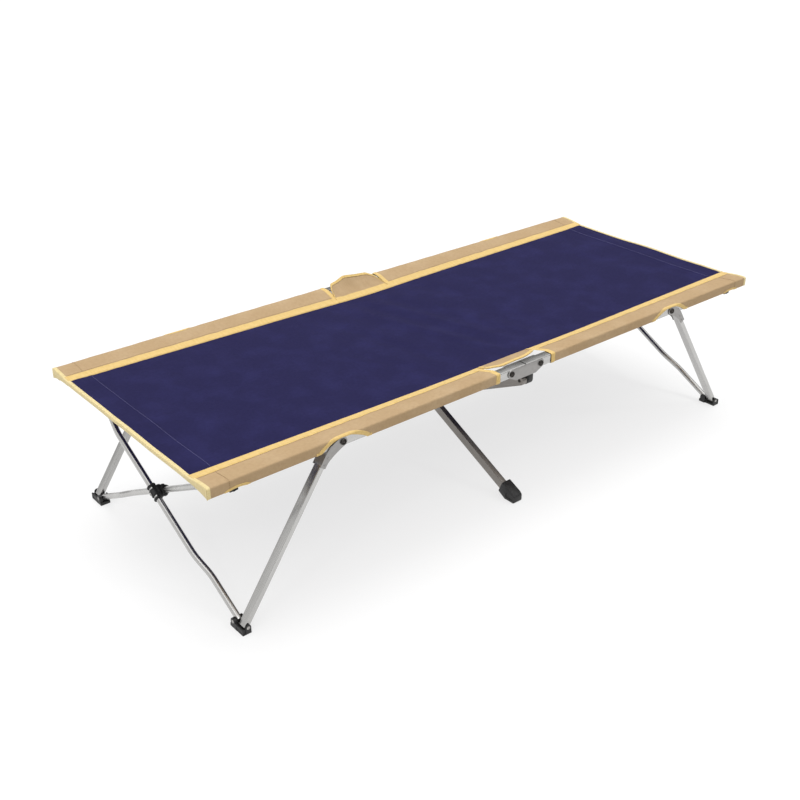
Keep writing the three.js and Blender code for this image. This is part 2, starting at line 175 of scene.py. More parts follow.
def beside(*objs):
    """Several meshes in one object, as they are."""
    verts, faces = [], []
    for obj in objs:
        start = len(verts)
        verts += [v.co.copy() for v in obj.data.vertices]
        faces += [tuple(start + i for i in p.vertices) for p in obj.data.polygons]
    drop(*objs)
    return temp(verts, faces)


AXES = {"x": (1, 2, 0), "y": (0, 2, 1), "z": (0, 1, 2)}  # the two axes of a section, then the long one


def placed(axis, a, b, along):
    point = [0, 0, 0]
    for k, value in zip(AXES[axis], (a, b, along)):
        point[k] = value
    return Vector(point)


def prism(axis, outline, start, end, bevel=0.0, segments=2):
    """An outline, in the two axes across the long one, extruded along it."""
    n = len(outline)
    verts = [placed(axis, a, b, start) for a, b in outline] + [placed(axis, a, b, end) for a, b in outline]
    faces = [tuple(range(n)), tuple(range(2 * n - 1, n - 1, -1))]
    faces += [(i, (i + 1) % n, n + (i + 1) % n, n + i) for i in range(n)]
    obj = tidy_mesh(temp(verts, faces))
    return bevelled(obj, bevel, segments) if bevel else obj


def block(x, y, z, bevel=0.0, segments=2):
    """A box between two limits on each axis."""
    outline = [(x[0], y[0]), (x[1], y[0]), (x[1], y[1]), (x[0], y[1])]
    return prism("z", outline, z[0], z[1], bevel, segments)


def lathe(axis, profile, at, steps=36):
    """A closed solid turned about an axis through a point; the profile is (radius, place along it)."""
    a0, b0 = (at[AXES[axis][0]], at[AXES[axis][1]])
    verts, faces, rings = [], [], []
    for radius, along in profile:
        if radius < 1e-6:
            rings.append([len(verts)])
            verts.append(placed(axis, a0, b0, along))
        else:
            rings.append(list(range(len(verts), len(verts) + steps)))
            for k in range(steps):
                t = 2 * math.pi * k / steps
                verts.append(placed(axis, a0 + radius * math.cos(t), b0 + radius * math.sin(t), along))
    for one, two in zip(rings, rings[1:]):
        for k in range(steps):
            quad = [one[k % len(one)], one[(k + 1) % len(one)], two[(k + 1) % len(two)], two[k % len(two)]]
            face = list(dict.fromkeys(quad))
            if len(face) > 2:
                faces.append(tuple(face))
    return tidy_mesh(temp(verts, faces))


def rod(axis, radius, start, end, at, chamfer=0.0, steps=36):
    c = chamfer
    profile = [(0, start), (radius - c, start), (radius, start + c)]
    profile += [(radius, end - c), (radius - c, end), (0, end)]
    return lathe(axis, profile if c else [profile[k] for k in (0, 2, 3, 5)], at, steps)


def arc(centre, radius, start, end, steps=8):
    """Points on an arc, in degrees."""
    turn = [math.radians(start + (end - start) * k / steps) for k in range(steps + 1)]
    return [(centre[0] + radius * math.cos(t), centre[1] + radius * math.sin(t)) for t in turn]


def rounded_box(half_a, half_b, radius, centre=(0, 0), steps=4):
    """Outline of a rectangle with round corners."""
    a, b = half_a - radius, half_b - radius
    points = []
    for k, (sa, sb) in enumerate(((1, 1), (-1, 1), (-1, -1), (1, -1))):
        points += arc((centre[0] + sa * a, centre[1] + sb * b), radius, 90 * k, 90 * k + 90, steps)
    return points


def bezier(points, steps=10):
    """A quadratic curve through the first and last of three points, without its first point."""
    p0, p1, p2 = (Vector(p) for p in points)
    shares = [k / steps for k in range(1, steps + 1)]
    return [tuple(p0 * (1 - t) ** 2 + p1 * 2 * t * (1 - t) + p2 * t * t) for t in shares]


def box_tube(axis, outer, inner, start, end):
    """A tube between two outlines with the same number of points, open at both ends."""
    n = len(outer)
    verts = [placed(axis, a, b, along) for along in (start, end) for a, b in outer + inner]
    faces = []
    for i in range(n):
        j = (i + 1) % n
        faces += [(i, j, 2 * n + j, 2 * n + i), (n + j, n + i, 3 * n + i, 3 * n + j)]
        faces += [(j, i, n + i, n + j), (2 * n + i, 2 * n + j, 3 * n + j, 3 * n + i)]
    return tidy_mesh(temp(verts, faces))


def loft(rings):
    """A skin through closed rings of points, closed at both ends."""
    n = len(rings[0])
    verts = [p for ring in rings for p in ring]
    around = [(k, (k + 1) % n) for k in range(n)]
    faces = [(i + k, i + n + k, i + n + m, i + m) for i in range(0, len(verts) - n, n) for k, m in around]
    return temp(verts, faces + [tuple(range(n)), tuple(range(len(verts) - 1, len(verts) - n - 1, -1))])


def grid(rows):
    """A sheet through rows of points, all of one length."""
    n = len(rows[0])
    corners = [r * n + c for r in range(len(rows) - 1) for c in range(n - 1)]
    return temp([p for row in rows for p in row], [(i, i + 1, i + n + 1, i + n) for i in corners])


def thickened(obj, up, thick=CLOTH):
    """A sheet given its thickness inward from the drawn face, whose outside faces up."""
    if sum((p.normal * p.area for p in obj.data.polygons), Vector()).dot(up) < 0:
        obj.data.flip_normals()
    mod = obj.modifiers.new("solid", "SOLIDIFY")
    mod.thickness = thick
    mod.offset = -1
    mod.use_even_offset = True
    mod.use_quality_normals = True
    return apply(obj)


# ---------------------------------------------------------------- materials
def hex_linear(text):
    """A #rrggbb colour as linear RGBA."""
    values = [int(text[k : k + 2], 16) / 255 for k in (0, 2, 4)]
    return tuple(v / 12.92 if v <= 0.04045 else ((v + 0.055) / 1.055) ** 2.4 for v in values) + (1.0,)


def link(tree, value, socket):
    """Feeds a socket from another, or from a number, a vector or a colour."""
    if isinstance(value, bpy.types.NodeSocket):
        tree.links.new(value, socket)
    else:
        socket.default_value = hex_linear(value) if isinstance(value, str) else value


def node(tree, kind, inputs, **settings):
    """Adds a node, sets it up and feeds its inputs. Returns its outputs."""
    made = tree.nodes.new("ShaderNode" + kind)
    for name, value in settings.items():
        setattr(made, name, value)
    for key, value in inputs.items():
        link(tree, value, made.inputs[key])
    return made.outputs


class Nodes:
    """A short way to write a material's node tree."""

    def __init__(self, name, **constants):
        self.material = bpy.data.materials.new(name)
        self.material.use_nodes = True
        self.tree = self.material.node_tree
        self.shader = self.tree.nodes["Principled BSDF"]
        for socket, value in constants.items():
            self.shader.inputs[socket.replace("_", " ").title().replace("Ior", "IOR")].default_value = value
        self.place = node(self.tree, "Attribute", {}, attribute_name="place")["Vector"]

    def math(self, operation, a, b=0.0):
        return node(self.tree, "Math", {0: a, 1: b}, operation=operation)[0]

    def add(self, a, b):
        return self.math("ADD", a, b)

    def times(self, a, b):
        return self.math("MULTIPLY", a, b)

    def split(self, vector):
        return node(self.tree, "SeparateXYZ", {0: vector})

    def noise(self, scale, detail=3.0, stretch=(1, 1, 1), rough=0.55):
        at = node(self.tree, "VectorMath", {0: self.place, 1: stretch}, operation="MULTIPLY")[0]
        inputs = {"Vector": at, "Scale": scale, "Detail": detail, "Roughness": rough}
        return node(self.tree, "TexNoise", inputs)["Fac"]

    def ramp(self, value, low_in, high_in, low_out=0.0, high_out=1.0):
        return node(self.tree, "MapRange", dict(enumerate((value, low_in, high_in, low_out, high_out))))[0]

    def mix(self, share, a, b):
        return node(self.tree, "Mix", {0: share, 6: a, 7: b}, data_type="RGBA")[2]

    def wave(self, value, pitch):
        """A sine along a coordinate in millimetres, from 0 to 1."""
        return self.ramp(self.math("SINE", self.times(value, 2 * math.pi / pitch)), -1, 1)

    def bump(self, height, distance, strength=1.0):
        inputs = {"Distance": distance, "Strength": strength, "Height": height}
        link(self.tree, node(self.tree, "Bump", inputs)[0], self.shader.inputs["Normal"])

    def colour(self, value):
        link(self.tree, value, self.shader.inputs["Base Color"])

    def roughness(self, value):
        link(self.tree, value, self.shader.inputs["Roughness"])


def oxford(name, light, dark, faded, pitch=1.3):
    """Coated oxford cloth: a plain weave of thick threads, mottled and a little faded in broad patches."""
    n = Nodes(name, specular_ior_level=0.07, sheen_weight=0.02, sheen_roughness=0.5)
    u, v, _ = n.split(n.place)
    warp = n.math("SINE", n.times(u, math.pi / pitch))
    weft = n.math("SINE", n.times(v, math.pi / pitch))
    weave = n.ramp(n.times(warp, weft), -1, 1)
    threads = n.noise(0.9, 2.0, (1, 0.06, 1))
    cross_threads = n.noise(0.9, 2.0, (0.06, 1, 1))
    slub = n.times(threads, cross_threads)
    cloud = n.noise(0.011, 4.0)
    fleck = n.noise(0.12, 3.0)
    # painted shade: the weave's low spots, the dips of its bump, are coloured darker; the faded patches and
    # flecks laid over it are the cloth's own
    weave_shaded = n.mix(n.ramp(weave, 0.0, 1.0, 0.35, 0.0), light, dark)
    worn = n.mix(n.ramp(cloud, 0.45, 0.75, 0.0, 0.55), weave_shaded, faded)
    n.colour(n.mix(n.ramp(n.add(slub, fleck), 0.6, 1.0, 0.0, 0.3), worn, dark))
    n.roughness(n.ramp(n.add(fleck, weave), 0.3, 1.6, 0.74, 0.92))
    n.bump(n.add(weave, n.times(slub, 0.8)), 0.00022, 0.8)
    return n.material


def webbing(name, light, dark, edge, pitch=2.4):
    """Ribbed binding tape: ribs across its length, with the yarn's own streaks along it."""
    n = Nodes(name, specular_ior_level=0.3, sheen_weight=0.15, sheen_roughness=0.45)
    u, _, _ = n.split(n.place)
    ribs = n.wave(u, pitch)
    wide = n.noise(0.16, 3.0, (1, 0.15, 0.15))
    yarn = n.noise(2.2, 2.0, (0.15, 1, 1))
    # painted shade: the grooves between the ribs, the dips of their bump, are coloured darker
    base = n.mix(n.ramp(ribs, 0.0, 1.0, 0.42, 0.0), light, dark)
    shaded = n.mix(n.ramp(wide, 0.4, 0.7, 0.0, 0.6), base, dark)
    n.colour(n.mix(n.ramp(yarn, 0.5, 0.8, 0.0, 0.4), shaded, edge))
    n.roughness(n.ramp(yarn, 0.3, 0.7, 0.66, 0.84))
    n.bump(n.add(ribs, n.times(yarn, 0.5)), 0.00035, 0.8)
    return n.material


def thread(name, light, dark):
    """Sewing thread: a tight twist along each stitch."""
    n = Nodes(name, specular_ior_level=0.35, roughness=0.6)
    u, v, w = n.split(n.place)
    twist = n.wave(n.add(n.add(u, v), w), 0.5)
    # painted shade: the grooves of the twist, the dips of its bump, are coloured darker
    n.colour(n.mix(twist, dark, light))
    n.bump(twist, 0.0001, 0.6)
    return n.material


def tube_metal(name, light, dark, rough):
    """Anodised tube: a fine grain along its length, handling marks across it and dull patches."""
    n = Nodes(name, metallic=1.0, specular_ior_level=0.5)
    grain = n.noise(1.4, 3.0, (0.012, 1, 1), 0.6)
    patch = n.noise(0.02, 4.0)
    marks = n.noise(0.35, 6.0, (0.25, 1, 1), 0.75)
    worn = n.ramp(marks, 0.62, 0.74)
    base = n.mix(n.ramp(grain, 0.3, 0.7), dark, light)
    n.colour(n.mix(n.times(worn, 0.35), base, dark))
    dull = n.ramp(patch, 0.3, 0.7, -0.05, 0.07)
    mixed = n.add(dull, n.ramp(grain, 0.3, 0.7, rough - 0.04, rough + 0.05))
    n.roughness(n.add(mixed, n.times(worn, 0.12)))
    n.bump(n.add(grain, n.times(worn, -0.5)), 0.00006, 0.5)
    return n.material


def stamped_metal(name, light, dark, rough):
    """Zinc-plated stamping: a cloudy plating with fine rolling lines and small pits."""
    n = Nodes(name, metallic=1.0)
    cloud = n.noise(0.09, 4.0)
    lines = n.noise(1.1, 2.0, (0.05, 1, 1))
    pits = n.ramp(n.noise(0.9, 5.0, rough=0.8), 0.66, 0.74)
    base = n.mix(n.ramp(cloud, 0.3, 0.7), dark, light)
    n.colour(n.mix(n.times(pits, 0.35), base, dark))
    n.roughness(n.add(n.ramp(cloud, 0.3, 0.7, rough - 0.03, rough + 0.03), n.times(pits, 0.15)))
    n.bump(n.math("SUBTRACT", lines, pits), 0.00008, 0.5)
    return n.material


def rivet_metal(name, light, dark, rough):
    """Blackened steel with turned rings and bright worn high spots."""
    n = Nodes(name, metallic=1.0)
    cloud = n.noise(0.5, 4.0)
    worn = n.ramp(n.noise(1.2, 4.0), 0.55, 0.72)
    base = n.mix(n.ramp(cloud, 0.35, 0.65), dark, light)
    n.colour(n.mix(n.times(worn, 0.5), base, "8d8a86"))
    n.roughness(n.ramp(cloud, 0.3, 0.7, rough - 0.08, rough + 0.1))
    n.bump(n.noise(3.0, 3.0), 0.00008, 0.5)
    return n.material


def moulded(name, light, dark, rough):
    """Moulded nylon: a fine spark-eroded texture, flow clouds and scuffed, paler patches."""
    n = Nodes(name, specular_ior_level=0.45)
    spark = n.noise(2.6, 4.0, rough=0.7)
    cloud = n.noise(0.06, 4.0)
    scuff = n.ramp(n.noise(0.4, 6.0, (1, 0.3, 1), 0.7), 0.6, 0.75)
    base = n.mix(n.ramp(cloud, 0.35, 0.65), dark, light)
    n.colour(n.mix(n.times(scuff, 0.35), base, "5a5a58"))
    n.roughness(n.add(n.ramp(spark, 0.3, 0.7, rough - 0.06, rough + 0.08), n.times(scuff, 0.1)))
    n.bump(spark, 0.00012, 0.6)
    return n.material


NAVY = oxford("navy_oxford", "211f45", "181733", "2a2955")
TAN = oxford("tan_oxford", "ae9574", "927957", "b7a081")
TAPE = webbing("yellow_tape", "d5b878", "c19e54", "dfcea2")
BINDING = webbing("pale_binding", "dac996", "c6b178", "e3d9b8", 1.8)
BROWN_THREAD = thread("brown_thread", "8f7048", "644c2c")
TAPE_THREAD = thread("tape_thread", "dcbb78", "b8924e")
NAVY_THREAD = thread("navy_thread", "77769c", "4c4b74")
BRIGHT_TUBE = tube_metal("bright_tube", "c6c5c3", "b0afad", 0.25)
DARK_TUBE = tube_metal("dark_tube", "98948f", "827d79", 0.48)
BRACKET_METAL = stamped_metal("bracket_metal", "a09e9c", "969492", 0.4)
RIVET_METAL = rivet_metal("rivet_metal", "4a4744", "2b2927", 0.42)
SCREW_METAL = stamped_metal("screw_metal", "c2c0bd", "8f8c88", 0.3)
PLASTIC = moulded("black_nylon", "262626", "161616", 0.5)


# ---------------------------------------------------------------- turning meshes into pieces
def piece(name, obj, material, matrix=None, place=None, smooth=32):
    """Names a mesh, turns it to metres, gives it its material, and marks its own coordinates.
    place says where a point lies on the surface in millimetres, along the grain first."""
    mesh = obj.data
    spots = place
    if not isinstance(place, list):
        spots = [place(v.co) if place else v.co.copy() for v in mesh.vertices]
    if matrix is not None:
        mesh.transform(matrix)
        if matrix.determinant() < 0:
            mesh.flip_normals()
    mesh.transform(Matrix.Scale(MM, 4))
    attribute = mesh.attributes.new("place", "FLOAT_VECTOR", "POINT")
    attribute.data.foreach_set("vector", [c for p in spots for c in p])
    mesh.materials.clear()
    mesh.materials.append(material)
    mesh.shade_smooth()
    mesh.set_sharp_from_angle(angle=math.radians(smooth))
    obj.name = mesh.name = name
    return obj


def copy_of(obj):
    other = obj.copy()
    other.data = obj.data.copy()
    SCENE.collection.objects.link(other)
    return other


def mirror(sx, sy):
    return Matrix.Diagonal((sx, sy, 1, 1))


PIECES = {}
AT_CORNERS = [(f"{side}_{end}", sx, sy) for side, end, sx, sy in CORNERS]
AT_SIDES = [(side, 1, sy) for side, sy in SIDES]
MIDDLE_BODY = {"near": "centre", "far": "far_bracket"}


def copies(kind, source, material, matrix=None, place=None, smooth=32, rides=None, at=AT_CORNERS):
    """A piece at each corner or side, from one source drawn in the +X +Y corner. It takes the place of the
    CAD node of its kind, or rides with a node of another. matrix may be a function of a corner's signs."""
    for tag, sx, sy in at:
        where = matrix(sx, sy) if callable(matrix) else mirror(sx, sy) @ (matrix or Matrix())
        name = f"{kind}_{tag}"
        made = piece(name if rides else f"{name}_fine", copy_of(source), material, where, place, smooth)
        if not rides:
            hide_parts(name)
        PIECES[name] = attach(made, BODY_OF[f"{rides or kind}_{tag}"])
    drop(source)


def along_y(p):
    return p.yxz


def along_z(p):
    return p.zxy


def across_fold(p):
    return Vector((p.x, p.y - p.z, 0))


# ---------------------------------------------------------------- rivets and screws
def domed_rivet(radius, dome, reach, inner_radius):
    """Rivet along Y about the origin: a ringed, dished head on +Y and a flattened tail on -Y."""
    tail = [(0, -reach - 1.8), (inner_radius - 0.8, -reach - 1.8), (inner_radius, -reach - 1.0),
            (inner_radius, -reach), (PIN, -reach), (PIN, reach)]
    # The head by steps inward from its rim and by shares of the dome
    steps = ((0, 0), (0, 0.45), (0.7, 0.8), (1.8, 1), (2.7, 0.8), (3.3, 0.45), (3.9, 0.5), (4.9, 0.72),
             (radius, 0.82))
    profile = tail + [(radius - inward, reach + dome * share) for inward, share in steps]
    return lathe("y", profile, ORIGIN, 40)


def screw_head(axis, radius, start, h, at):
    """Pan-head screw with a cross recess, its head growing from start by h, which may be negative."""
    profile = [(0, start), (radius, start), (radius, start + h * 0.35), (radius * 0.82, start + h * 0.8),
               (radius * 0.5, start + h), (0, start + h)]
    a, b = at[AXES[axis][0]], at[AXES[axis][1]]
    slots = []
    for half_a, half_b in ((radius * 0.55, radius * 0.1), (radius * 0.1, radius * 0.55)):
        outline = [(a + s * half_a, b + t * half_b) for s, t in ((-1, -1), (1, -1), (1, 1), (-1, 1))]
        slots.append(prism(axis, outline, start + h * 0.55, start + h * 1.4))
    return cut(lathe(axis, profile, at, 28), *slots)


# ---------------------------------------------------------------- rails and centre hinge
def make_rails():
    outer = rounded_box(RAIL_HALF, RAIL_HALF, 2.6, (RAIL, RAIL_Z))
    inner = rounded_box(RAIL_HALF - 1.6, RAIL_HALF - 1.6, 1.2, (RAIL, RAIL_Z))
    copies("rail", bevelled(box_tube("x", outer, inner, *RAIL_ENDS), 0.25, 1, 60), BRIGHT_TUBE)


def make_centre_brackets():
    """Channel with two cheeks that carry the rail halves' pins, and the pins."""
    eye, half, bottom = 12.5, 36.0, low("centre_bracket_far").z
    outline = [(-half, bottom), (half, bottom)]
    outline += arc((HINGE.x, RAIL_Z), eye, -60, 90, 14)
    outline += arc((-HINGE.x, RAIL_Z), eye, 90, 240, 14)
    cheeks = [prism("y", outline, start, end, 0.55)
              for start, end in ((RAIL + INSIDE, RAIL + CHEEK), (RAIL - CHEEK, RAIL - INSIDE))]
    across = (RAIL - CHEEK + 0.6, RAIL + CHEEK - 0.6)
    web = block((1 - half, half - 1), across, (bottom + 0.05, bottom + PLATE), 0.5)
    copies("centre_bracket", joined(web, *cheeks), BRACKET_METAL, at=AT_SIDES)
    copies("centre_rivet", domed_rivet(8.0, 3.0, CHEEK + 0.3, 6.0), RIVET_METAL, Matrix.Translation(HINGE))


def make_middle_knuckles():
    """Black block under a centre bracket: a slab and a round lug beside the middle leg."""
    node_low, node_high = low("middle_knuckle_far"), high("middle_knuckle_far")
    half = (node_high.y - node_low.y) / 2
    pivot = Vector((0, -MID_TOP.y, MID_TOP.z))
    lug_inner, outer, top = MID_TOP.x + 8.3, -node_low.x, node_high.z
    outline = [(pivot.y - half, top), (pivot.y - half, pivot.z)]
    outline += arc((pivot.y, pivot.z), half, 180, 360, 20)
    outline += [(pivot.y + half, top)]
    lug = prism("x", outline, lug_inner, outer, 1.6, 3)
    slab = block((-half, outer - 2), (pivot.y - half, pivot.y + half), (pivot.z + 15, top), 1.2)
    rib_y = (pivot.y + half - 3, pivot.y + half + 1.2)
    rib = block((lug_inner + 3, outer - 3), rib_y, (pivot.z, top - 4), 0.8)
    boss = rod("x", 6.5, outer - 1, outer + 1.2, pivot, 0.6)
    screw = screw_head("x", 4.2, outer + 1.0, 2.4, pivot)

    def turn(_, sy):
        """Drawn at +Y with the lug on +X: mirrored in X for the far one, turned by half for the near one."""
        return mirror(-sy, sy)

    copies("middle_knuckle", joined(lug, slab, rib, boss), PLASTIC, turn, along_z, at=AT_SIDES)
    copies("middle_knuckle_screw", screw, SCREW_METAL, turn, rides="middle_knuckle", at=AT_SIDES)


# ---------------------------------------------------------------- corner legs
# Half sizes, wall, and how far the eye lies from the tube's middle
LEG_THICK, LEG_WIDE, LEG_WALL, LEG_OFFSET = 7.0, 12.0, 1.5, 21.2
LEG_TO_FOOT = Vector((LEG_EYE.x - FOOT.x, 0, LEG_EYE.z - FOOT.z)).length
LEG_LEAN = math.atan2(FOOT.x - LEG_EYE.x, LEG_EYE.z - FOOT.z) - math.asin(LEG_OFFSET / LEG_TO_FOOT)
LEG_RUN = math.sqrt(LEG_TO_FOOT ** 2 - LEG_OFFSET ** 2)
ON_LEG = Matrix.Translation((FOOT.x, RAIL, FOOT.z)) @ Matrix.Rotation(-LEG_LEAN, 4, "Y")


def make_leg_tubes():
    outer = rounded_box(LEG_THICK, LEG_WIDE, 2.4)
    inner = rounded_box(LEG_THICK - LEG_WALL, LEG_WIDE - LEG_WALL, 1.0)
    tube = box_tube("z", outer, inner, -5.5, LEG_RUN - 36)
    copies("leg_tube", bevelled(tube, 0.2, 1, 60), BRIGHT_TUBE, ON_LEG, along_z)


def make_leg_brackets():
    """Goose-neck stamping: two cheeks that reach up around the rail, joined by a web over the leg's back."""
    start = LEG_RUN - 74
    back, front = LEG_THICK + 0.3, -LEG_THICK
    eye, radius = (-LEG_OFFSET, LEG_RUN), 12.0
    from_turn, to_turn = 0.5, 3.9  # where the round head begins and ends, in radians
    outline = [(front + 1.5, start), (back + PLATE, start), (back + PLATE, LEG_RUN - 38)]
    top = (eye[0] + radius * math.cos(from_turn), eye[1] + 6)
    outline += bezier([outline[-1], (back - 1, LEG_RUN - 10), top], 14)
    outline += arc(eye, radius, math.degrees(from_turn), math.degrees(to_turn), 24)
    last = (eye[0] + radius * math.cos(to_turn), eye[1] + radius * math.sin(to_turn))
    outline += bezier([last, (eye[0] + 3, eye[1] - 26), (front - 2.5, LEG_RUN - 50)], 12)
    outline += [(front, LEG_RUN - 60), (front, start + 1.5)]
    cheeks = [prism("y", outline, INSIDE, CHEEK, 0.55), prism("y", outline, -CHEEK, -INSIDE, 0.55)]
    web_outline = [(back, start + 5), (back + PLATE, start + 5), (back + PLATE, LEG_RUN - 38)]
    web_outline += bezier([web_outline[-1], (back + 1.4, LEG_RUN - 26), (back - 1.2, LEG_RUN - 17)], 6)
    web_outline += [(back - 3.4, LEG_RUN - 18.2)]
    web_outline += bezier([web_outline[-1], (back - 0.6, LEG_RUN - 27), (back, LEG_RUN - 38)], 6)
    web = prism("y", web_outline, -CHEEK + 0.4, CHEEK - 0.4, 0.5)
    copies("leg_bracket", joined(web, *cheeks), BRACKET_METAL, ON_LEG, along_z)
    copies("leg_rivet", domed_rivet(8.0, 4.0, CHEEK + 0.3, 6.0), RIVET_METAL, Matrix.Translation(LEG_EYE))
    head = [(0, CHEEK - 0.1), (2.6, CHEEK - 0.1), (2.6, CHEEK + 0.5), (1.8, CHEEK + 1.3), (0, CHEEK + 1.4)]
    rivets = [lathe("y", head, Vector((0, 0, LEG_RUN - at)), 24) for at in (48, 66)]
    copies("leg_bracket_rivets", beside(*rivets), BRACKET_METAL, ON_LEG, rides="leg_bracket")


# ---------------------------------------------------------------- crossed end tubes
CROSS_RADIUS, CROSS_JOGGLE, CROSS_PAST = 8.0, 10.0, 3.0
CROSS_BEND = (160.0, 240.0)  # how far from the crossing a tube eases back to the foot's plane
CROSS_RISE = (KNUCKLE.z - FOOT.z) / (2 * KNUCKLE.y)


def step_up(value, start, end):
    """0 before start and 1 after end, with a smooth rise between."""
    t = max(0.0, min(1.0, (value - start) / (end - start)))
    return t * t * (3 - 2 * t)


def make_cross_tubes():
    """Round tubes from a foot at +Y to a knuckle at -Y, eased to either side where a pair cross."""
    reach = KNUCKLE.y + CROSS_PAST / math.hypot(1, CROSS_RISE)
    stations = [reach * (1 - k / 45) for k in range(91)]
    circle = arc((0, 0), CROSS_RADIUS, 0, 360, 36)[:-1]
    for joggle in (CROSS_JOGGLE, -CROSS_JOGGLE):
        path = []
        for y in stations:
            aside = joggle * (1 - step_up(abs(y), *CROSS_BEND))
            path.append(Vector((FOOT.x + aside, y, FOOT.z + (KNUCKLE.y - y) * CROSS_RISE)))
        rings = []
        for before, here, after in zip(path[:1] + path, path, path[1:] + path[-1:]):
            along = (after - before).normalized()
            up = (Vector((1, 0, 0)) - along * along.x).normalized()
            rings.append([here + along.cross(up) * a + up * b for a, b in circle])
        at = [spot for spot in AT_CORNERS if spot[1] * spot[2] * joggle > 0]
        copies("cross_tube", bevelled(tidy_mesh(loft(rings)), 0.8, 2, 60), BRIGHT_TUBE, place=along_y, at=at)


def hub_clamp():
    """Snap clamp around a tube, drawn along Y with the hub's plane at X 0: three rings with windows
    between them, side bars, webbed wings and half of the hub's disc."""
    x0, bore, shell = CROSS_JOGGLE, CROSS_RADIUS + 0.3, 11.2
    circle = arc((0, 0), 1, 0, 360, 40)[:-1]
    parts = []
    ring_spans = [(-21, -15.6, shell), (-9.2, 9.2, shell), (15.6, 21, shell)]
    ring_spans += [(a, b, shell + 0.9) for a, b in ((-20.2, -17.2), (-8, -5.4), (5.4, 8), (17.2, 20.2))]
    for start, end, radius in ring_spans:
        outer = [(max(0.3, x0 + radius * a), radius * b) for a, b in circle]
        inner = [(x0 + bore * a, bore * b) for a, b in circle]
        parts.append(bevelled(box_tube("y", outer, inner, start, end), 0.35, 1, 50))
    top = bezier([(22, 9.5), (21, 15.4), (14.5, 16)], 6) + bezier([(14.5, 16), (7, 11.4), (0, 11.2)], 6)
    top += [(-y, z) for y, z in reversed(top[:-1])]
    for side in (-1, 1):
        outline = [(-21.6, bore + 0.2), (21.6, bore + 0.2), (22, 9.5)] + top
        parts.append(prism("x", [(y, side * z) for y, z in outline], 4.6, 9.4, 0.5))
        bar = sorted((side * (bore + 0.1), side * (shell - 0.2)))
        parts.append(block((x0 - 3.6, x0 + 3.6), (-20, 20), bar, 0.4))
        half_disc = [(17 * a, side * max(bore + 0.2, 17 * b)) for a, b in arc((0, 0), 1, 28, 152, 20)]
        parts.append(prism("x", half_disc, 0.3, 6.4, 0.5))
        for at in (-15.4, 15.4):
            parts.append(block((4.2, 13), (at - 1.1, at + 1.1), sorted((side * 9.4, side * 14.8)), 0.5))
    parts.append(rod("x", 17, 0.3, 1.6, ORIGIN, 0.4, 44))
    return beside(*parts)


def make_hub_clamps():
    hub = Matrix.Translation((FOOT.x, 0, (KNUCKLE.z + FOOT.z) / 2))
    tilt = hub @ Matrix.Rotation(-math.atan(CROSS_RISE), 4, "X")

    def where(sx, sy):
        """Each pair of tubes lies either side of the hub's plane."""
        return mirror(sx, sy) @ tilt @ mirror(sx * sy, 1)

    copies("hub_clamp", hub_clamp(), PLASTIC, where, along_y)
    head = screw_head("x", 4.4, CROSS_JOGGLE + 12, 1.5, ORIGIN)
    copies("hub_screw", head, SCREW_METAL, where, rides="hub_clamp")


def make_rail_hangers():
    half, top = 11.0, RAIL_Z - RAIL_HALF - 0.3
    body = block((FOOT.x - half, FOOT.x + half), (RAIL - half, RAIL + 2), (KNUCKLE.z - 5.5, top), 1.4, 3)
    collar = rod("y", 6.6, RAIL - half - 0.2, RAIL + 2.8, Vector((FOOT.x, 0, KNUCKLE.z + 0.6)), 0.8)
    bore = rod("y", 4.8, RAIL - 20, RAIL + 20, Vector((FOOT.x, 0, KNUCKLE.z)))
    trim = block((FOOT.x - 20, FOOT.x + 20), (RAIL - 20, RAIL + 20), (top, top + 20))
    copies("rail_hanger", cut(joined(body, collar), bore, trim), PLASTIC, place=along_y)


def make_rail_knuckles():
    """Swivelling fork that holds the upper end of an end tube."""
    gap, thick, radius = CROSS_RADIUS + 0.5, 3.5, 9.0
    reach = gap + thick
    pivot = Vector((FOOT.x, KNUCKLE.y, KNUCKLE.z))
    back = RAIL - RAIL_HALF - 0.6
    outline = [(back, pivot.z + radius)] + arc((pivot.y, pivot.z), radius, 90, 270, 18)
    outline += [(back, pivot.z - radius)]
    lugs = [prism("x", outline, FOOT.x + a, FOOT.x + b, 0.7) for a, b in ((-reach, -gap), (gap, reach))]
    plate_z = (pivot.z - radius, pivot.z + radius)
    plate = block((FOOT.x - reach, FOOT.x + reach), (back - 2.2, back), plate_z, 0.5)
    stub = rod("y", 4.5, back - 1, RAIL + 1.4, Vector((FOOT.x, 0, KNUCKLE.z)), 0.6)
    copies("rail_knuckle", joined(plate, stub, *lugs), PLASTIC, place=along_y)
    head = [(0, reach + 1.6), (3.4, reach + 1.6), (4.4, reach + 0.6), (4.4, reach), (2.5, reach)]
    profile = [(r, FOOT.x - along) for r, along in head]
    profile += [(r, FOOT.x + along) for r, along in reversed(head)]
    copies("knuckle_pin", lathe("x", profile, pivot, 28), SCREW_METAL, rides="rail_knuckle")


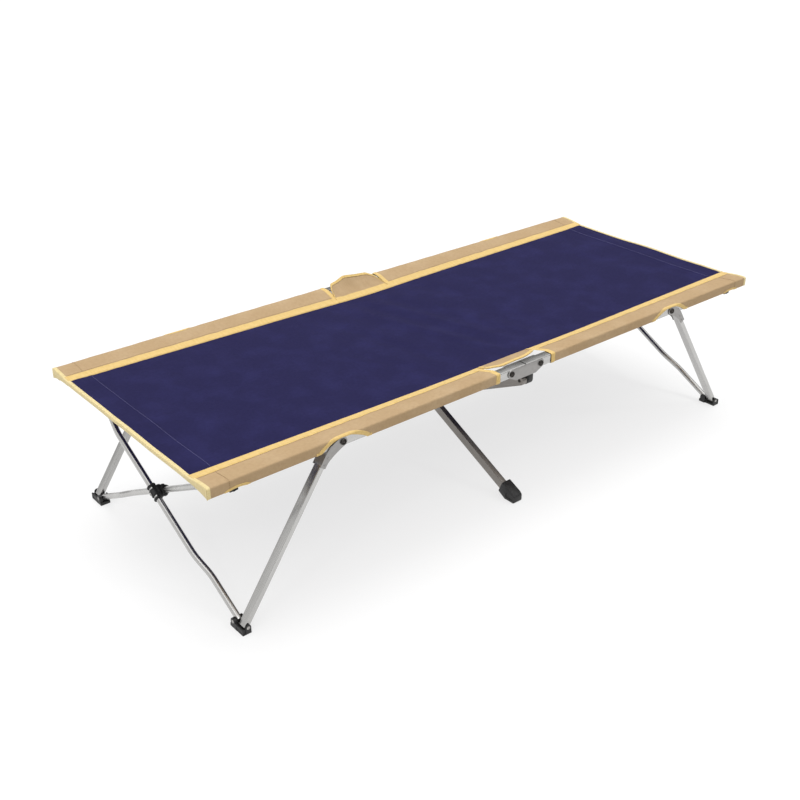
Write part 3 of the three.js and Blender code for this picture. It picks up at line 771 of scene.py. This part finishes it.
# ---------------------------------------------------------------- feet
def make_corner_feet():
    """Moulded foot: an open slot for the leg and one for the round tube, thick walls, a bevelled sole."""
    split = RAIL - LEG_WIDE - 1
    inboard, outboard = FOOT.x - 7, FOOT.x + 17
    inner, outer = low("corner_foot_far_right").y, high("corner_foot_far_right").y
    gap, thin = CROSS_RADIUS + 0.5, 2.5
    edge = SLEEVE_INNER - 0.5
    base = block((inboard, outboard), (split, outer), (0, 6), 0.9)
    inner_base = block((FOOT.x - gap - thin, outboard), (inner, edge), (0, FOOT.z - CROSS_RADIUS - 1.5), 0.9)
    bridge = block((inboard, outboard), (split - 4, split + 4), (0.1, 5.9))
    end_wall = block((outboard - 4.6, outboard), (inner + 4, outer), (0.4, 17), 1.0, 3)
    lug_face = RAIL + LEG_WIDE + 1.7
    lug_top = arc((FOOT.x + 1, FOOT.z - 1), 8, 180, 0, 18)
    outer_lug = prism("y", [(FOOT.x + 9, 0.2), (FOOT.x - 7, 0.2)] + lug_top, lug_face, outer, 0.9, 3)
    filler = block((FOOT.x + 4, outboard - 1), (lug_face, outer - 1.2), (0.4, 15.5), 0.9)
    side_outline = [(KNUCKLE.y + 9, 0.2), (KNUCKLE.y - 9, 0.2)] + arc((KNUCKLE.y, FOOT.z), 9, 180, 0, 18)
    lugs = [prism("x", side_outline, a, b, 0.8) for a, b in
            ((FOOT.x - gap - thin, FOOT.x - gap), (FOOT.x + gap, outboard))]
    whole = joined(base, inner_base, bridge, end_wall, outer_lug, filler, *lugs)
    panel = block((outboard - 0.9, outboard + 2), (KNUCKLE.y + 13, outer - 5), (3.5, 13), 0.4)
    side_panel = block((FOOT.x + 8.5, outboard - 2.2), (outer - 0.8, outer + 2), (3, 12.5), 0.3)
    copies("corner_foot", cut(whole, panel, side_panel), PLASTIC, place=along_y)
    outer_screw = screw_head("y", 4.4, outer - 0.4, 1.8, Vector((FOOT.x + 1, 0, FOOT.z - 1)))
    inner_screw = screw_head("x", 4.4, outboard - 0.4, 1.8, Vector((0, KNUCKLE.y, FOOT.z)))
    copies("foot_screws", beside(outer_screw, inner_screw), SCREW_METAL, rides="corner_foot")


def make_middle_legs():
    """Flat dark tubes that cross under the bed, each capped by a chamfered foot, and the pin through both."""
    slope = math.atan2(MID_TOP.z - HUB.z, -MID_TOP.y)
    half, thick = 13.0, 8.0
    foot_y = -MID_TOP.y + 10
    run = (foot_y - MID_TOP.y) / math.cos(slope)
    end = run - 16
    on_leg = Matrix.Translation((0, MID_TOP.y, MID_TOP.z)) @ Matrix.Rotation(-slope, 4, "X")
    x = MID_TOP.x
    outline = rounded_box(thick, half, 2.2, (x, 0))
    tube = box_tube("y", outline, rounded_box(thick - 1.5, half - 1.5, 1.0, (x, 0)), 2, end)
    nose = prism("x", [(4, -half), (4, half)] + arc((0, 0), half, 90, 270, 22), x - thick, x + thick, 1.6, 3)
    whole = joined(tube, nose)
    outline = [(foot_y - 18, 0), (foot_y + 15, 0), (foot_y + 19, 4), (foot_y + 19, 22), (foot_y + 11, 29),
               (foot_y - 30, 48), (foot_y - 44, 15)]
    cap = prism("x", outline, x - 15.5, x + 15.5, 2.6, 2)
    panel_y, groove_ys = (foot_y - 14, foot_y + 12), [foot_y - 12 + 9 * k for k in range(3)]
    panels = [block((x + s * 14.9 - 1, x + s * 14.9 + 1), panel_y, (8, 22), 0.3) for s in (-1, 1)]
    grooves = [block((x - 20, x + 20), (y, y + 3), (-1, 1.0)) for y in groove_ys]
    foot = cut(cap, *panels, *grooves)
    at = Vector((0, foot_y - 24, 27))
    screw = beside(*[screw_head("x", 3.2, x + s * 13.9, s * 1.5, at) for s in (-1, 1)])
    pin = screw_head("x", 4.6, x - thick + 0.2, -1.8, Vector((0, MID_TOP.y, MID_TOP.z)))

    def turn(_, sy):
        return Matrix.Rotation(0 if sy > 0 else math.pi, 4, "Z")

    copies("middle_leg", whole, DARK_TUBE, lambda _, sy: turn(_, sy) @ on_leg, along_y, at=AT_SIDES)
    copies("middle_foot", foot, PLASTIC, turn, along_y, at=AT_SIDES)
    copies("middle_foot_screws", screw, SCREW_METAL, turn, rides="middle_foot", at=AT_SIDES)
    copies("middle_leg_pin", pin, RIVET_METAL, turn, rides="middle_leg", at=AT_SIDES)
    reach = x + thick + 0.3
    profile = [(0, -reach - 3), (5.5, -reach - 3), (8, -reach - 1), (8, -reach), (PIN, -reach), (PIN, reach),
               (8, reach), (8, reach + 1), (5.5, reach + 3), (0, reach + 3)]
    hub = piece("middle_hub_pin_fine", lathe("x", profile, HUB, 36), RIVET_METAL)
    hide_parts("middle_hub_pin")
    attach(hub, BODY_OF["middle_hub_pin"])


# ---------------------------------------------------------------- the cloth's surface
# Cloth is laid out flat as (x, d): d is the distance along the cloth outward from a rail's outer top crease,
# negative towards the bed's middle.
SEAM = 290.0  # half the navy cloth's width at the ends
TAPE_WIDTH = 26.0
DECK_END = BED_END - 6
ROUND = 4.0
HEM = BED_END - 68
PLAIN_X = 700.0  # a station where nothing is cut out of the sleeve
# Indices of a section's points: the flat top's start, the crease, the outer wall's end, the bottom's start
TOP, CREASE, WALL_END, BOTTOM = 11, 17, 24, 30
UNDERSIDE = (27, 36)


def seam_y(x):
    """The navy cloth is pulled in a little beside the centre hinges."""
    return SEAM - 5 * math.exp(-((x / 170) ** 2))


def tape_out(x):
    """Outer edge of the tape that covers the seam."""
    return seam_y(x) + TAPE_WIDTH + 1.5


def seam_z(x):
    """The seam hangs below the rails and sags towards the centre hinges, as slack cloth does."""
    end_z, centre_z, soften = 408.5, 396.5, 90
    share = (math.hypot(x, soften) - soften) / (math.hypot(BED_END, soften) - soften)
    return centre_z + (end_z - centre_z) * share


def drift(x, y, seed, along, across, size):
    """Smooth wandering height with its own scale along X and along Y."""
    return size * noise.noise(Vector((x / along + seed * 7.3, y / across - seed * 3.1, seed)))


def deck_z(x, y):
    """Height of the navy cloth between the seams, with its tension folds and its end hems."""
    share = min(1.0, abs(y) / seam_y(x))
    middle = 1 - share * share
    sag = 3.5 * middle * math.sin(math.pi * min(1.0, abs(x) / BED_END)) ** 0.7
    centre = math.exp(-(((abs(x) - 10) / 240) ** 2))
    ends = math.exp(-(((BED_END - abs(x)) / 150) ** 2))
    folds = drift(x + 0.25 * y, y, 1, 44, 300, 3.4) * (0.18 + centre)
    folds += drift(x - 0.06 * y, y, 2, 30, 520, 2.6) * ends
    folds += drift(x, y, 4, 170, 140, 2.4) * middle
    pucker = drift(x, y, 3, 26, 46, 1.1) * math.exp(-(((1 - share) / 0.14) ** 2))
    hem = 0.8 * step_up(abs(x), HEM - 1.5, HEM + 0.5)
    return seam_z(x) - sag + folds * min(1, 0.2 + middle * 1.8) + pucker + hem


def edge_point(x, share):
    """Point on the cloth from the seam, at share 0, to the rail's inner top corner, at share 1."""
    y0, z0 = seam_y(x), seam_z(x)
    y1, z1 = RAIL - RAIL_HALF + 1, SLEEVE_TOP - 0.2
    ripple = drift(x, 60 * share, 6, 34, 60, 1.6) * math.sin(math.pi * share)
    return Vector((x, y0 + (y1 - y0) * share, z0 + (z1 - z0) * share + ripple))


def section(x):
    """The cloth at one x: from the seam over the rail, down outside it, under it and up inside it."""

    def corner(y, z, start, end):
        return [Vector((x, *p)) for p in arc((y, z), ROUND, start, end, 6)]

    top, bottom, outer, inner = SLEEVE_TOP, SLEEVE_BOTTOM, SLEEVE_OUTER, SLEEVE_INNER
    points = [edge_point(x, k / 10) for k in range(11)]
    points += [Vector((x, RAIL + at, top)) for at in (-6, 0, 6)]
    points += corner(outer - ROUND, top - ROUND, 90, 0)
    points += [Vector((x, outer, RAIL_Z + at)) for at in (5, 0, -5)]
    points += corner(outer - ROUND, bottom + ROUND, 0, -90)
    points += [Vector((x, RAIL + at, bottom)) for at in (4, -4)]
    points += corner(inner + ROUND, bottom + ROUND, -90, -180)
    return points + [Vector((x, inner, RAIL_Z + at)) for at in (0, 7)]


SECTIONS = {}


def measured(x):
    """A section and how far along it each point is from the crease."""
    key = round(x, 3)
    if key not in SECTIONS:
        points = section(x)
        run = [0.0]
        for a, b in zip(points, points[1:]):
            run.append(run[-1] + (b - a).length)
        SECTIONS[key] = points, [v - run[CREASE] for v in run]
    return SECTIONS[key]


def cloth(x, d, lift=0.0):
    """Point on the cloth, lifted off it along its outward normal."""
    points, run = measured(x)
    k = next((i for i in range(len(run) - 2) if run[i + 1] >= d), len(run) - 2)
    share = (d - run[k]) / (run[k + 1] - run[k])
    before = points[max(0, k - 1) if share < 0.5 else k]
    after = points[k + 1 if share < 0.5 else min(len(points) - 1, k + 2)]
    along = (after - before).normalized()
    if run[UNDERSIDE[0]] < d < run[UNDERSIDE[1]]:  # the folded leg lies here, so sewing is flat
        height = lift * 0.15
    else:
        puff = 0.35 + drift(x, d, 8, 38, 18, 0.7) if run[TOP] < d < run[WALL_END] else 0
        height = lift + max(0.0, puff)
    return points[k].lerp(points[k + 1], share) + Vector((0, -along.z, along.y)) * height


D_FULL = measured(PLAIN_X)[1][BOTTOM]  # where the outer wall meets the bottom
D_END = measured(PLAIN_X)[1][-1]
ARCH = (LEG_EYE.x - 75, LEG_EYE.x + 66)
NOTCH = (FOOT.x - 32, FOOT.x + 28)


def at_y(x, y):
    """How far a point at that y, between the seam and the rail, lies from the crease."""
    points, run = measured(x)
    k = next(i for i in range(12) if points[i + 1].y >= y)
    share = (y - points[k].y) / (points[k + 1].y - points[k].y)
    return run[k] + (run[k + 1] - run[k]) * share


def lower_edge(x):
    """Where the sleeve's outer wall ends: an arch over each leg's hinge, a shallow cut over each end tube."""
    if ARCH[0] < x < ARCH[1]:
        steep = min(1.0, (x - ARCH[0]) / 52) ** 0.62
        gentle = math.sin(math.pi / 2 * min(1.0, (ARCH[1] - x) / 60)) ** 0.9
        return D_FULL - (D_FULL - 2.0) * min(steep, gentle)
    if NOTCH[0] < x < NOTCH[1]:
        return D_FULL - 6.5 * math.sin(math.pi * (x - NOTCH[0]) / (NOTCH[1] - NOTCH[0])) ** 0.5
    return D_FULL


def spread(start, end, step):
    count = max(1, round((end - start) / step))
    return [start + (end - start) * k / count for k in range(count + 1)]


# ---------------------------------------------------------------- cloth meshes
def band(path, width, profile, point=cloth, ribs=0.0, pitch=3.0):
    """A narrow tape on the cloth along a flat path. profile is its height across, from edge to edge.
    Returns the mesh and where each vertex lies on the tape."""
    across = [(-0.5 + k / (len(profile) - 1)) * width for k in range(len(profile))]
    rings, spots, run = [], [], 0.0
    for i, here in enumerate(path):
        a, b = Vector(path[max(0, i - 1)]), Vector(path[min(len(path) - 1, i + 1)])
        along = (b - a).normalized()
        side = Vector((-along.y, along.x))
        if i:
            run += (Vector(here) - Vector(path[i - 1])).length
        rib = ribs * (0.5 + 0.5 * math.sin(2 * math.pi * run / pitch))
        ring = [(offset, height + rib * min(1, height)) for offset, height in zip(across, profile)]
        ring += [(offset, (height - CLOTH) * 0.3) for offset, height in zip(across[::-1], profile[::-1])]
        rings.append([point(*(Vector(here) + side * offset), height) for offset, height in ring])
        spots += [Vector((run, offset, 0)) for offset, _ in ring]
    return tidy_mesh(loft(rings), 0), spots


def stitches(path, pitch, length, radius, point=cloth, lift=0.35):
    """Separate raised stitches along a flat path."""
    sewn, spots = [], []
    run = [0.0]
    for a, b in zip(path, path[1:]):
        run.append(run[-1] + (Vector(b) - Vector(a)).length)
    at, k = pitch / 2, 0
    while at < run[-1] - length / 2:
        while run[k + 1] < at:
            k += 1
        a, b = Vector(path[k]), Vector(path[k + 1])
        here = a.lerp(b, (at - run[k]) / (run[k + 1] - run[k]))
        along = (b - a).normalized() * length / 2
        side = Vector((-along.y, along.x)).normalized() * radius
        for share, size, rise in ((-1, 0.45, -0.5), (-0.5, 1, 0.6), (0.5, 1, 0.6), (1, 0.45, -0.5)):
            ring = []
            for turn in range(6):
                angle = math.pi / 3 * turn
                x, d = here + along * share + side * size * math.cos(angle)
                ring.append(point(x, d, lift + radius * (rise + size * math.sin(angle))))
                spots.append(Vector((at + share * length / 2, turn * 0.2, 0)))
            sewn.append(ring)
        at += pitch
    return tidy_mesh(beside(*[loft(sewn[k : k + 4]) for k in range(0, len(sewn), 4)]), 0), spots


def together(parts):
    """One mesh from several, and where each of its vertices lies."""
    return beside(*[mesh for mesh, _ in parts]), [spot for _, spots in parts for spot in spots]


def deck_point(x, y, lift=0.0):
    slope = Vector((deck_z(x - 1, y) - deck_z(x + 1, y), deck_z(x, y - 1) - deck_z(x, y + 1), 2)).normalized()
    return Vector((x, y, deck_z(x, y))) + slope * lift


def past_seam(x, y):
    """Past the seam the cloth follows the slope up to the rail."""
    return max(0.0, y - seam_y(x)) * (SLEEVE_TOP - seam_z(x)) / (RAIL - RAIL_HALF - seam_y(x))


def deck(xs, sy):
    """Navy cloth of one side of the bed, from its middle line to a little under the tape."""
    across = sorted([k / 36 for k in range(37)] + [0.96, 0.985])
    rows = []
    for x in xs:
        ys = [(seam_y(x) + 5) * share for share in across]
        rows.append([Vector((x, sy * y, deck_z(x, sy * y) + past_seam(x, y))) for y in ys])
    return thickened(grid(rows), UP)


FOLD_AT = HINGE.x + 6.5  # the cloth hangs below the hinges, so it folds a little outboard of them


def closing(obj, body):
    """Cloth across the bed follows one side's body."""
    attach(obj, body)
    PIECES[obj.name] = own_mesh(obj)


def make_deck():
    """Six panels of navy cloth: three along the bed, each in a near and a far half."""
    outer = spread(FOLD_AT, HEM - 3, 8) + spread(HEM - 3, HEM + 3, 1.5)[1:] + spread(HEM + 3, DECK_END, 6)[1:]
    spans = {"left": [-x for x in reversed(outer)], "centre": spread(-FOLD_AT, FOLD_AT, 5), "right": outer}
    for end, xs in spans.items():
        for side, sy in SIDES:
            body = MIDDLE_BODY[side] if end == "centre" else BODY_OF[f"rail_{side}_{end}"]
            made = piece(f"bed_{end}_{side}", deck(xs, sy), NAVY,
                         place=lambda p: Vector((p.x, p.y, 0)), smooth=60)
            if sy < 0:
                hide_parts(f"bed_{end}")
            closing(made, body)
    for side, end, sx, sy in CORNERS:
        line = [(sx * (HEM + 3.5), sy * y) for y in spread(1, SEAM - 2, 6)]
        mesh, spots = stitches(line, 4.6, 3.2, 0.42, deck_point, 0.1)
        sewn = piece(f"bed_stitches_{side}_{end}", mesh, NAVY_THREAD, place=spots)
        bound = piece(f"bed_binding_{side}_{end}", end_binding(sx, sy), BINDING,
                      place=lambda p: Vector((p.y, abs(p.x) - p.z, 0)), smooth=50)
        for made in (sewn, bound):
            closing(made, BODY_OF[f"rail_{side}_{end}"])


def end_profile(top, tall=10.0):
    """Folded strip over the bed's end, outward from its top edge: (x, z) points."""
    return [(BED_END + x, top + z) for x, z in (
        (-9.5, -0.6), (-9.3, 0.5), (-8.4, 0.9), (-4.5, 0.6), (-1.6, 0.7), (-0.4, -0.3), (0, -2.2),
        (0.2, -tall * 0.5), (0, 0.8 - tall), (-0.5, -tall))]


def end_binding(sx, sy):
    """Half of the strip folded over the navy cloth's end."""
    rows = []
    for y in spread(0, SEAM + 4, 4):
        top = deck_z(sx * (DECK_END - 2), sy * min(y, SEAM)) + 0.6 + past_seam(DECK_END, y)
        top += 0.12 * math.sin(y * 2 * math.pi / 8)
        rows.append([Vector((sx * x, sy * y, z)) for x, z in end_profile(top)])
    return thickened(grid(rows), Vector((sx, 0, 1)))


def sleeve_mesh():
    """Tan sleeve of the +X +Y rail: its top and outer wall with the arch, then its bottom and inner walls."""
    # Where each stretch starts, and how far apart its stations are
    stops = ((SLEEVE_START, 7), (ARCH[0], 2), (ARCH[0] + 56, 3), (ARCH[1], 6), (NOTCH[0], 3), (NOTCH[1], 5),
             (DECK_END + 1, 0))
    spans = [spread(start, end, step) for (start, step), (end, _) in zip(stops, stops[1:])]
    xs = sorted(set(round(x, 3) for span in spans for x in span))
    rows = []
    for x in xs:
        _, run = measured(x)
        start = at_y(x, tape_out(x) - 8)
        inward = [start + (run[TOP] - start) * k / 6 for k in range(6)] + run[TOP:CREASE + 1]
        edge = lower_edge(x)
        outward = [edge * (k / 14) for k in range(1, 15)]
        rows.append([cloth(x, d) for d in inward + outward])
    skins = [grid(rows)]
    lower = [D_FULL + (D_END - D_FULL) * k / 18 for k in range(19)]
    for start, end in ((SLEEVE_START, ARCH[0]), (ARCH[1], NOTCH[0]), (NOTCH[1], DECK_END + 1)):
        span = [x for x in xs if start - 0.01 <= x <= end + 0.01]
        skins.append(grid([[cloth(x, d) for d in lower] for x in span]))
    return thickened(tidy_mesh(beside(*skins), 0.01), UP)


def end_closure():
    """Binding that closes a sleeve's end: over the top, then down, wider towards the outer corner."""
    rows = []
    for d in spread(at_y(DECK_END, SEAM + 3), 0, 3.0):
        p = cloth(DECK_END, d)
        share = max(0.0, (p.y - SEAM) / (SLEEVE_OUTER - SEAM)) ** 1.3
        low_z = p.z - 10 + (SLEEVE_BOTTOM - (SLEEVE_TOP - 10)) * share
        top = p.z + 0.4
        rows.append([Vector((x, p.y, z)) for x, z in end_profile(top, top - low_z)])
    cap = thickened(grid(rows), Vector((1, 0, 1)))
    down = [(BED_END - 4.6, d) for d in spread(-3, D_FULL - 2, 2.5)]
    wall, _ = band(down, 8.6, (0.1, 0.8, 1.0, 0.9, 0.8, 0.5, 0.0))
    return beside(cap, wall)


def make_sleeves():
    """Each rail's sleeve with its bindings and stitching."""
    sleeve = sleeve_mesh()
    ring_profile = (0.1, 0.95, 1.1, 0.95, 1.0, 1.7, 1.75, 1.0, 0.95, 1.1, 0.95, 0.1)
    flat_profile = (0.1, 0.95, 1.1, 0.95, 0.9, 0.9, 0.9, 0.95, 1.1, 0.95, 0.1)
    ring_d0 = at_y(SLEEVE_START, tape_out(SLEEVE_START) - 4)
    ring = [(SLEEVE_START + 3, d) for d in spread(ring_d0, D_END - 1, 1.5)]
    arch = spread(ARCH[0] - 9, ARCH[0], 3)[:-1] + spread(ARCH[0], ARCH[0] + 52, 1.2)[:-1]
    arch += spread(ARCH[0] + 52, ARCH[1], 2)[:-1] + spread(ARCH[1], ARCH[1] + 9, 3)
    arch = smoothed([(x, lower_edge(x) - 4.6) for x in arch], 3)
    notch = smoothed([(x, lower_edge(x) - 2.8) for x in spread(NOTCH[0] - 2, NOTCH[1] + 2, 2)], 2)
    bands = [band(ring, 14, ring_profile, ribs=0.2), band(arch, 10.5, flat_profile, ribs=0.2),
             band(notch, 6.5, flat_profile, ribs=0.15)]
    binding, binding_spots = together(bands)
    closure = end_closure()
    beside_tape = [(x, at_y(x, tape_out(x) + 2.2)) for x in spread(SLEEVE_START + 12, DECK_END - 4, 5)]
    hem = BED_END - 56
    across = [(hem, d) for d in spread(at_y(hem, SEAM + TAPE_WIDTH + 5), D_FULL - 2, 3)]
    sewn = [stitches(beside_tape, 5.2, 3.6, 0.36), stitches(across, 4.6, 3.2, 0.42)]
    threads, thread_spots = together(sewn)
    copies("sleeve", sleeve, TAN, place=across_fold, smooth=50)
    copies("sleeve_binding", binding, TAPE, place=binding_spots, smooth=50, rides="sleeve")
    copies("sleeve_end", closure, BINDING, place=lambda p: Vector((p.y - p.z * 0.3, p.x - p.z, 0)), smooth=50,
           rides="sleeve")
    copies("sleeve_stitches", threads, BROWN_THREAD, place=thread_spots, rides="sleeve")


def smoothed(path, rounds):
    for _ in range(rounds):
        runs = zip(path, path[1:], path[2:])
        path[1:-1] = [((a[0] + 2 * b[0] + c[0]) / 4, (a[1] + 2 * b[1] + c[1]) / 4) for a, b, c in runs]
    return path


def tape_point(x, y, lift=0.0):
    """Point over the seam's slope at a y, lifted along its normal."""
    a, b = edge_point(x, 0.0), edge_point(x, 0.45)
    share = (y - a.y) / (b.y - a.y)
    slope = (b - a).normalized()
    return a.lerp(b, share) + Vector((0, -slope.z, slope.y)) * lift


def make_tapes():
    """Ribbed tape over each seam, in halves that meet at the bed's middle."""
    profile = (0.2, 1.5, 1.75, 1.5, 1.3, 1.3, 1.3, 1.3, 1.3, 1.5, 1.75, 1.5, 0.2)
    line = [(x, tape_out(x) - TAPE_WIDTH / 2) for x in spread(0, DECK_END + 1, 1.5)]
    tape, spots = band(line, TAPE_WIDTH, profile, tape_point, ribs=0.45, pitch=6.0)
    inset = TAPE_WIDTH / 2 - 2.6
    rows = [[(x, y + offset) for x, y in line[::4]] for offset in (-inset, inset)]
    threads, thread_spots = together([stitches(row, 5.2, 3.4, 0.34, tape_point, 1.5) for row in rows])
    kinds = (("tape", tape, TAPE, spots), ("tape_stitches", threads, TAPE_THREAD, thread_spots))
    for side, end, sx, sy in CORNERS:
        for kind, source, material, where in kinds:
            made = piece(f"{kind}_{side}_{end}", copy_of(source), material, mirror(sx, sy), where, 50)
            PIECES[made.name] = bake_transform(made)
    drop(tape, threads)


# ---------------------------------------------------------------- flaps at the centre hinges
# Free edge of the far flap: share of its length, reach outward and height over where it is sewn down.
FAR_FLAP_EDGE = ((0, 0, 0), (0.05, 34, 16), (0.1, 50, 25), (0.22, 55, 28), (0.36, 59, 36), (0.44, 59, 36),
                 (0.62, 57, 31), (0.8, 55, 28), (0.9, 44, 20), (0.96, 24, 9), (1, 0, 0))


def between(table, t):
    """Values of a table at a share, in straight runs between its rows."""
    k = next(i for i in range(len(table) - 1) if table[i + 1][0] >= t)
    share = (t - table[k][0]) / (table[k + 1][0] - table[k][0])
    return [a + (b - a) * share for a, b in zip(table[k][1:], table[k + 1][1:])]


def flap(side):
    """Rows across a loose piece of sleeve cloth beside a centre hinge, from its sewn edge to its free one."""
    near = side == "near"
    start, end = (-92.0, 88.0) if near else (-100.0, 92.0)
    rows = []
    for x in spread(start, end, 3):
        t = (x - start) / (end - start)
        round_off = math.sin(math.pi * t)
        if near:  # lies on the tape and reaches across to the bracket, its edge waving a little
            base = tape_point(x, seam_y(x) + 6, 2.8)
            edge = tape_point(x, tape_out(x) + 1, 3.0)
            out = 29 * math.sin(math.pi * t ** 0.85) ** 0.5
            rise = 6.0 * round_off ** 0.7 + 1.3 * math.sin(t * 15 + 0.6)
            tip = Vector((x, edge.y + out, edge.z + rise))
            over = edge + Vector((0, 0, 5.0 * round_off ** 0.5))
        else:  # stands up over the bracket
            base = tape_point(x, tape_out(x) - 4, 1.6)
            out, rise = between(FAR_FLAP_EDGE, t)
            tip = Vector((x, base.y + out, base.z + rise))
            over = base.lerp(tip, 0.5) - Vector((0, 0, 5.0 * round_off))
        row = []
        for k in range(15):
            s = k / 14
            depth = 0.5 if near else 1.8
            ripple = drift(x, 40 * s, 12 if near else 13, 26, 20, depth) * math.sin(math.pi * s)
            row.append(base.lerp(over, s).lerp(over.lerp(tip, s), s) + Vector((0, 0, ripple)))
        rows.append(row)
    return rows


def flap_binding(rows):
    """Tape folded over a flap's free edge, and where each of its vertices lies."""
    sides = range(1, 13, 2) if (rows[0][-1] - rows[0][0]).length > 5 else ()
    edge = [rows[0][k] for k in sides] + [row[-1] for row in rows] + [rows[-1][k] for k in reversed(sides)]
    inner = [rows[1][k] for k in sides] + [row[-2].lerp(row[-1], -0.6) for row in rows]
    inner += [rows[-2][k] for k in reversed(sides)]
    if not sides:  # the ends run down to a point, so they lean as the rows beside them do
        inner[0], inner[-1] = edge[0] + inner[1] - edge[1], edge[-1] + inner[-2] - edge[-2]
    rings, spots, run = [], [], 0.0
    for i, (tip, back) in enumerate(zip(edge, inner)):
        inward = (back - tip).normalized()
        along = (edge[min(i + 1, len(edge) - 1)] - edge[max(i - 1, 0)]).normalized()
        up = inward.cross(along).normalized()
        up = up if up.z > 0 else -up
        if i:
            run += (tip - edge[i - 1]).length
        folded = ((8.5, 0.5), (8.2, 1.3), (4, 1.1), (0, 1.3), (-0.9, 0), (0, -1.9), (4, -1.7), (8.5, -1.2))
        rings.append([tip + inward * a + up * b for a, b in folded])
        spots += [Vector((run, a, 0)) for a, _ in folded]
    return tidy_mesh(loft(rings), 0), spots


def make_flaps():
    for side, sy in SIDES:
        rows = flap(side)
        binding, spots = flap_binding(rows)
        sheet = piece(f"flap_{side}_fine", thickened(grid(rows), UP), TAN, mirror(1, sy), across_fold, 50)
        bound = piece(f"flap_binding_{side}", binding, TAPE, mirror(1, sy), spots, 50)
        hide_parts(f"flap_{side}")
        for made in (sheet, bound):
            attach(made, MIDDLE_BODY[side])
            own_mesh(made)
        PIECES[f"flap_{side}"], PIECES[f"flap_binding_{side}"] = sheet, bound


def declare_sheets():
    """Works out the sleeve's width around its rail, in metres, and does nothing more with it."""

    around = (D_END - at_y(PLAIN_X, tape_out(PLAIN_X) - 8)) * MM


# ---------------------------------------------------------------- floor, light and camera
def make_stage():
    verts = [Vector((x, y, -0.0002)) for x, y in ((-90, -90), (90, -90), (90, 90), (-90, 90))]
    floor = temp(verts, [(0, 1, 2, 3)])
    floor.name = "floor"
    material = bpy.data.materials.new("floor")
    material.use_nodes = True
    grey, white = (0.24, 0.24, 0.24, 1), (1, 1, 1, 1)
    looks = {"Base Color": grey, "Roughness": 0.95, "Specular IOR Level": 0.0, "Emission Color": white,
             "Emission Strength": 0.72}
    for socket, value in looks.items():
        material.node_tree.nodes["Principled BSDF"].inputs[socket].default_value = value
    floor.data.materials.append(material)
    world = bpy.data.worlds.new("studio")
    SCENE.world = world
    world.use_nodes = True
    tree = world.node_tree
    background = tree.nodes["Background"]
    background.inputs["Color"].default_value = white
    x, _, z = node(tree, "SeparateXYZ", {0: node(tree, "TexCoord", {})["Generated"]})
    # Each brightness runs from one value to another between two directions: upward, then towards -X
    runs = ((z, 0.35, 0.95, 0.2, 1.6), (x, -0.25, -0.7, 0.0, 0.85))
    upward, sideways = [node(tree, "MapRange", dict(enumerate(run)), interpolation_type="SMOOTHSTEP")[0]
                        for run in runs]
    brighter = node(tree, "Math", {0: upward, 1: sideways}, operation="MAXIMUM")[0]
    link(tree, brighter, background.inputs["Strength"])
    lights = (
        ("front_left", (-4.2, -2.6, 5.2), 9, 0.2),
        ("front_right", (3.4, -4.4, 5.2), 9, 0.25),
        ("top", (0.6, 1.6, 6.2), 40, 1.5),
    )
    for name, at, spread_angle, power in lights:
        data = bpy.data.lights.new(name, "SUN")
        data.angle = math.radians(spread_angle)
        data.energy = power
        lamp = bpy.data.objects.new(name, data)
        SCENE.collection.objects.link(lamp)
        lamp.location = at
        lamp.rotation_euler = (Vector((0, 0, 0.2)) - Vector(at)).to_track_quat("-Z", "Y").to_euler()
    SCENE.view_settings.view_transform = "Standard"


def make_camera():
    data = bpy.data.cameras.new("camera")
    data.lens = 50.4
    data.sensor_width = 36
    camera = bpy.data.objects.new("camera", data)
    SCENE.collection.objects.link(camera)
    camera.location = (-1.9094, -2.1664, 1.6697)
    target = Vector((-0.0531, 0.0674, 0.150))
    camera.rotation_euler = (target - camera.location).to_track_quat("-Z", "Y").to_euler()
    SCENE.camera = camera


make_rails()
make_centre_brackets()
make_middle_knuckles()
make_leg_tubes()
make_leg_brackets()
make_cross_tubes()
make_hub_clamps()
make_rail_hangers()
make_rail_knuckles()
make_corner_feet()
make_middle_legs()
make_deck()
make_sleeves()
make_tapes()
make_flaps()
declare_sheets()
make_stage()
make_camera()
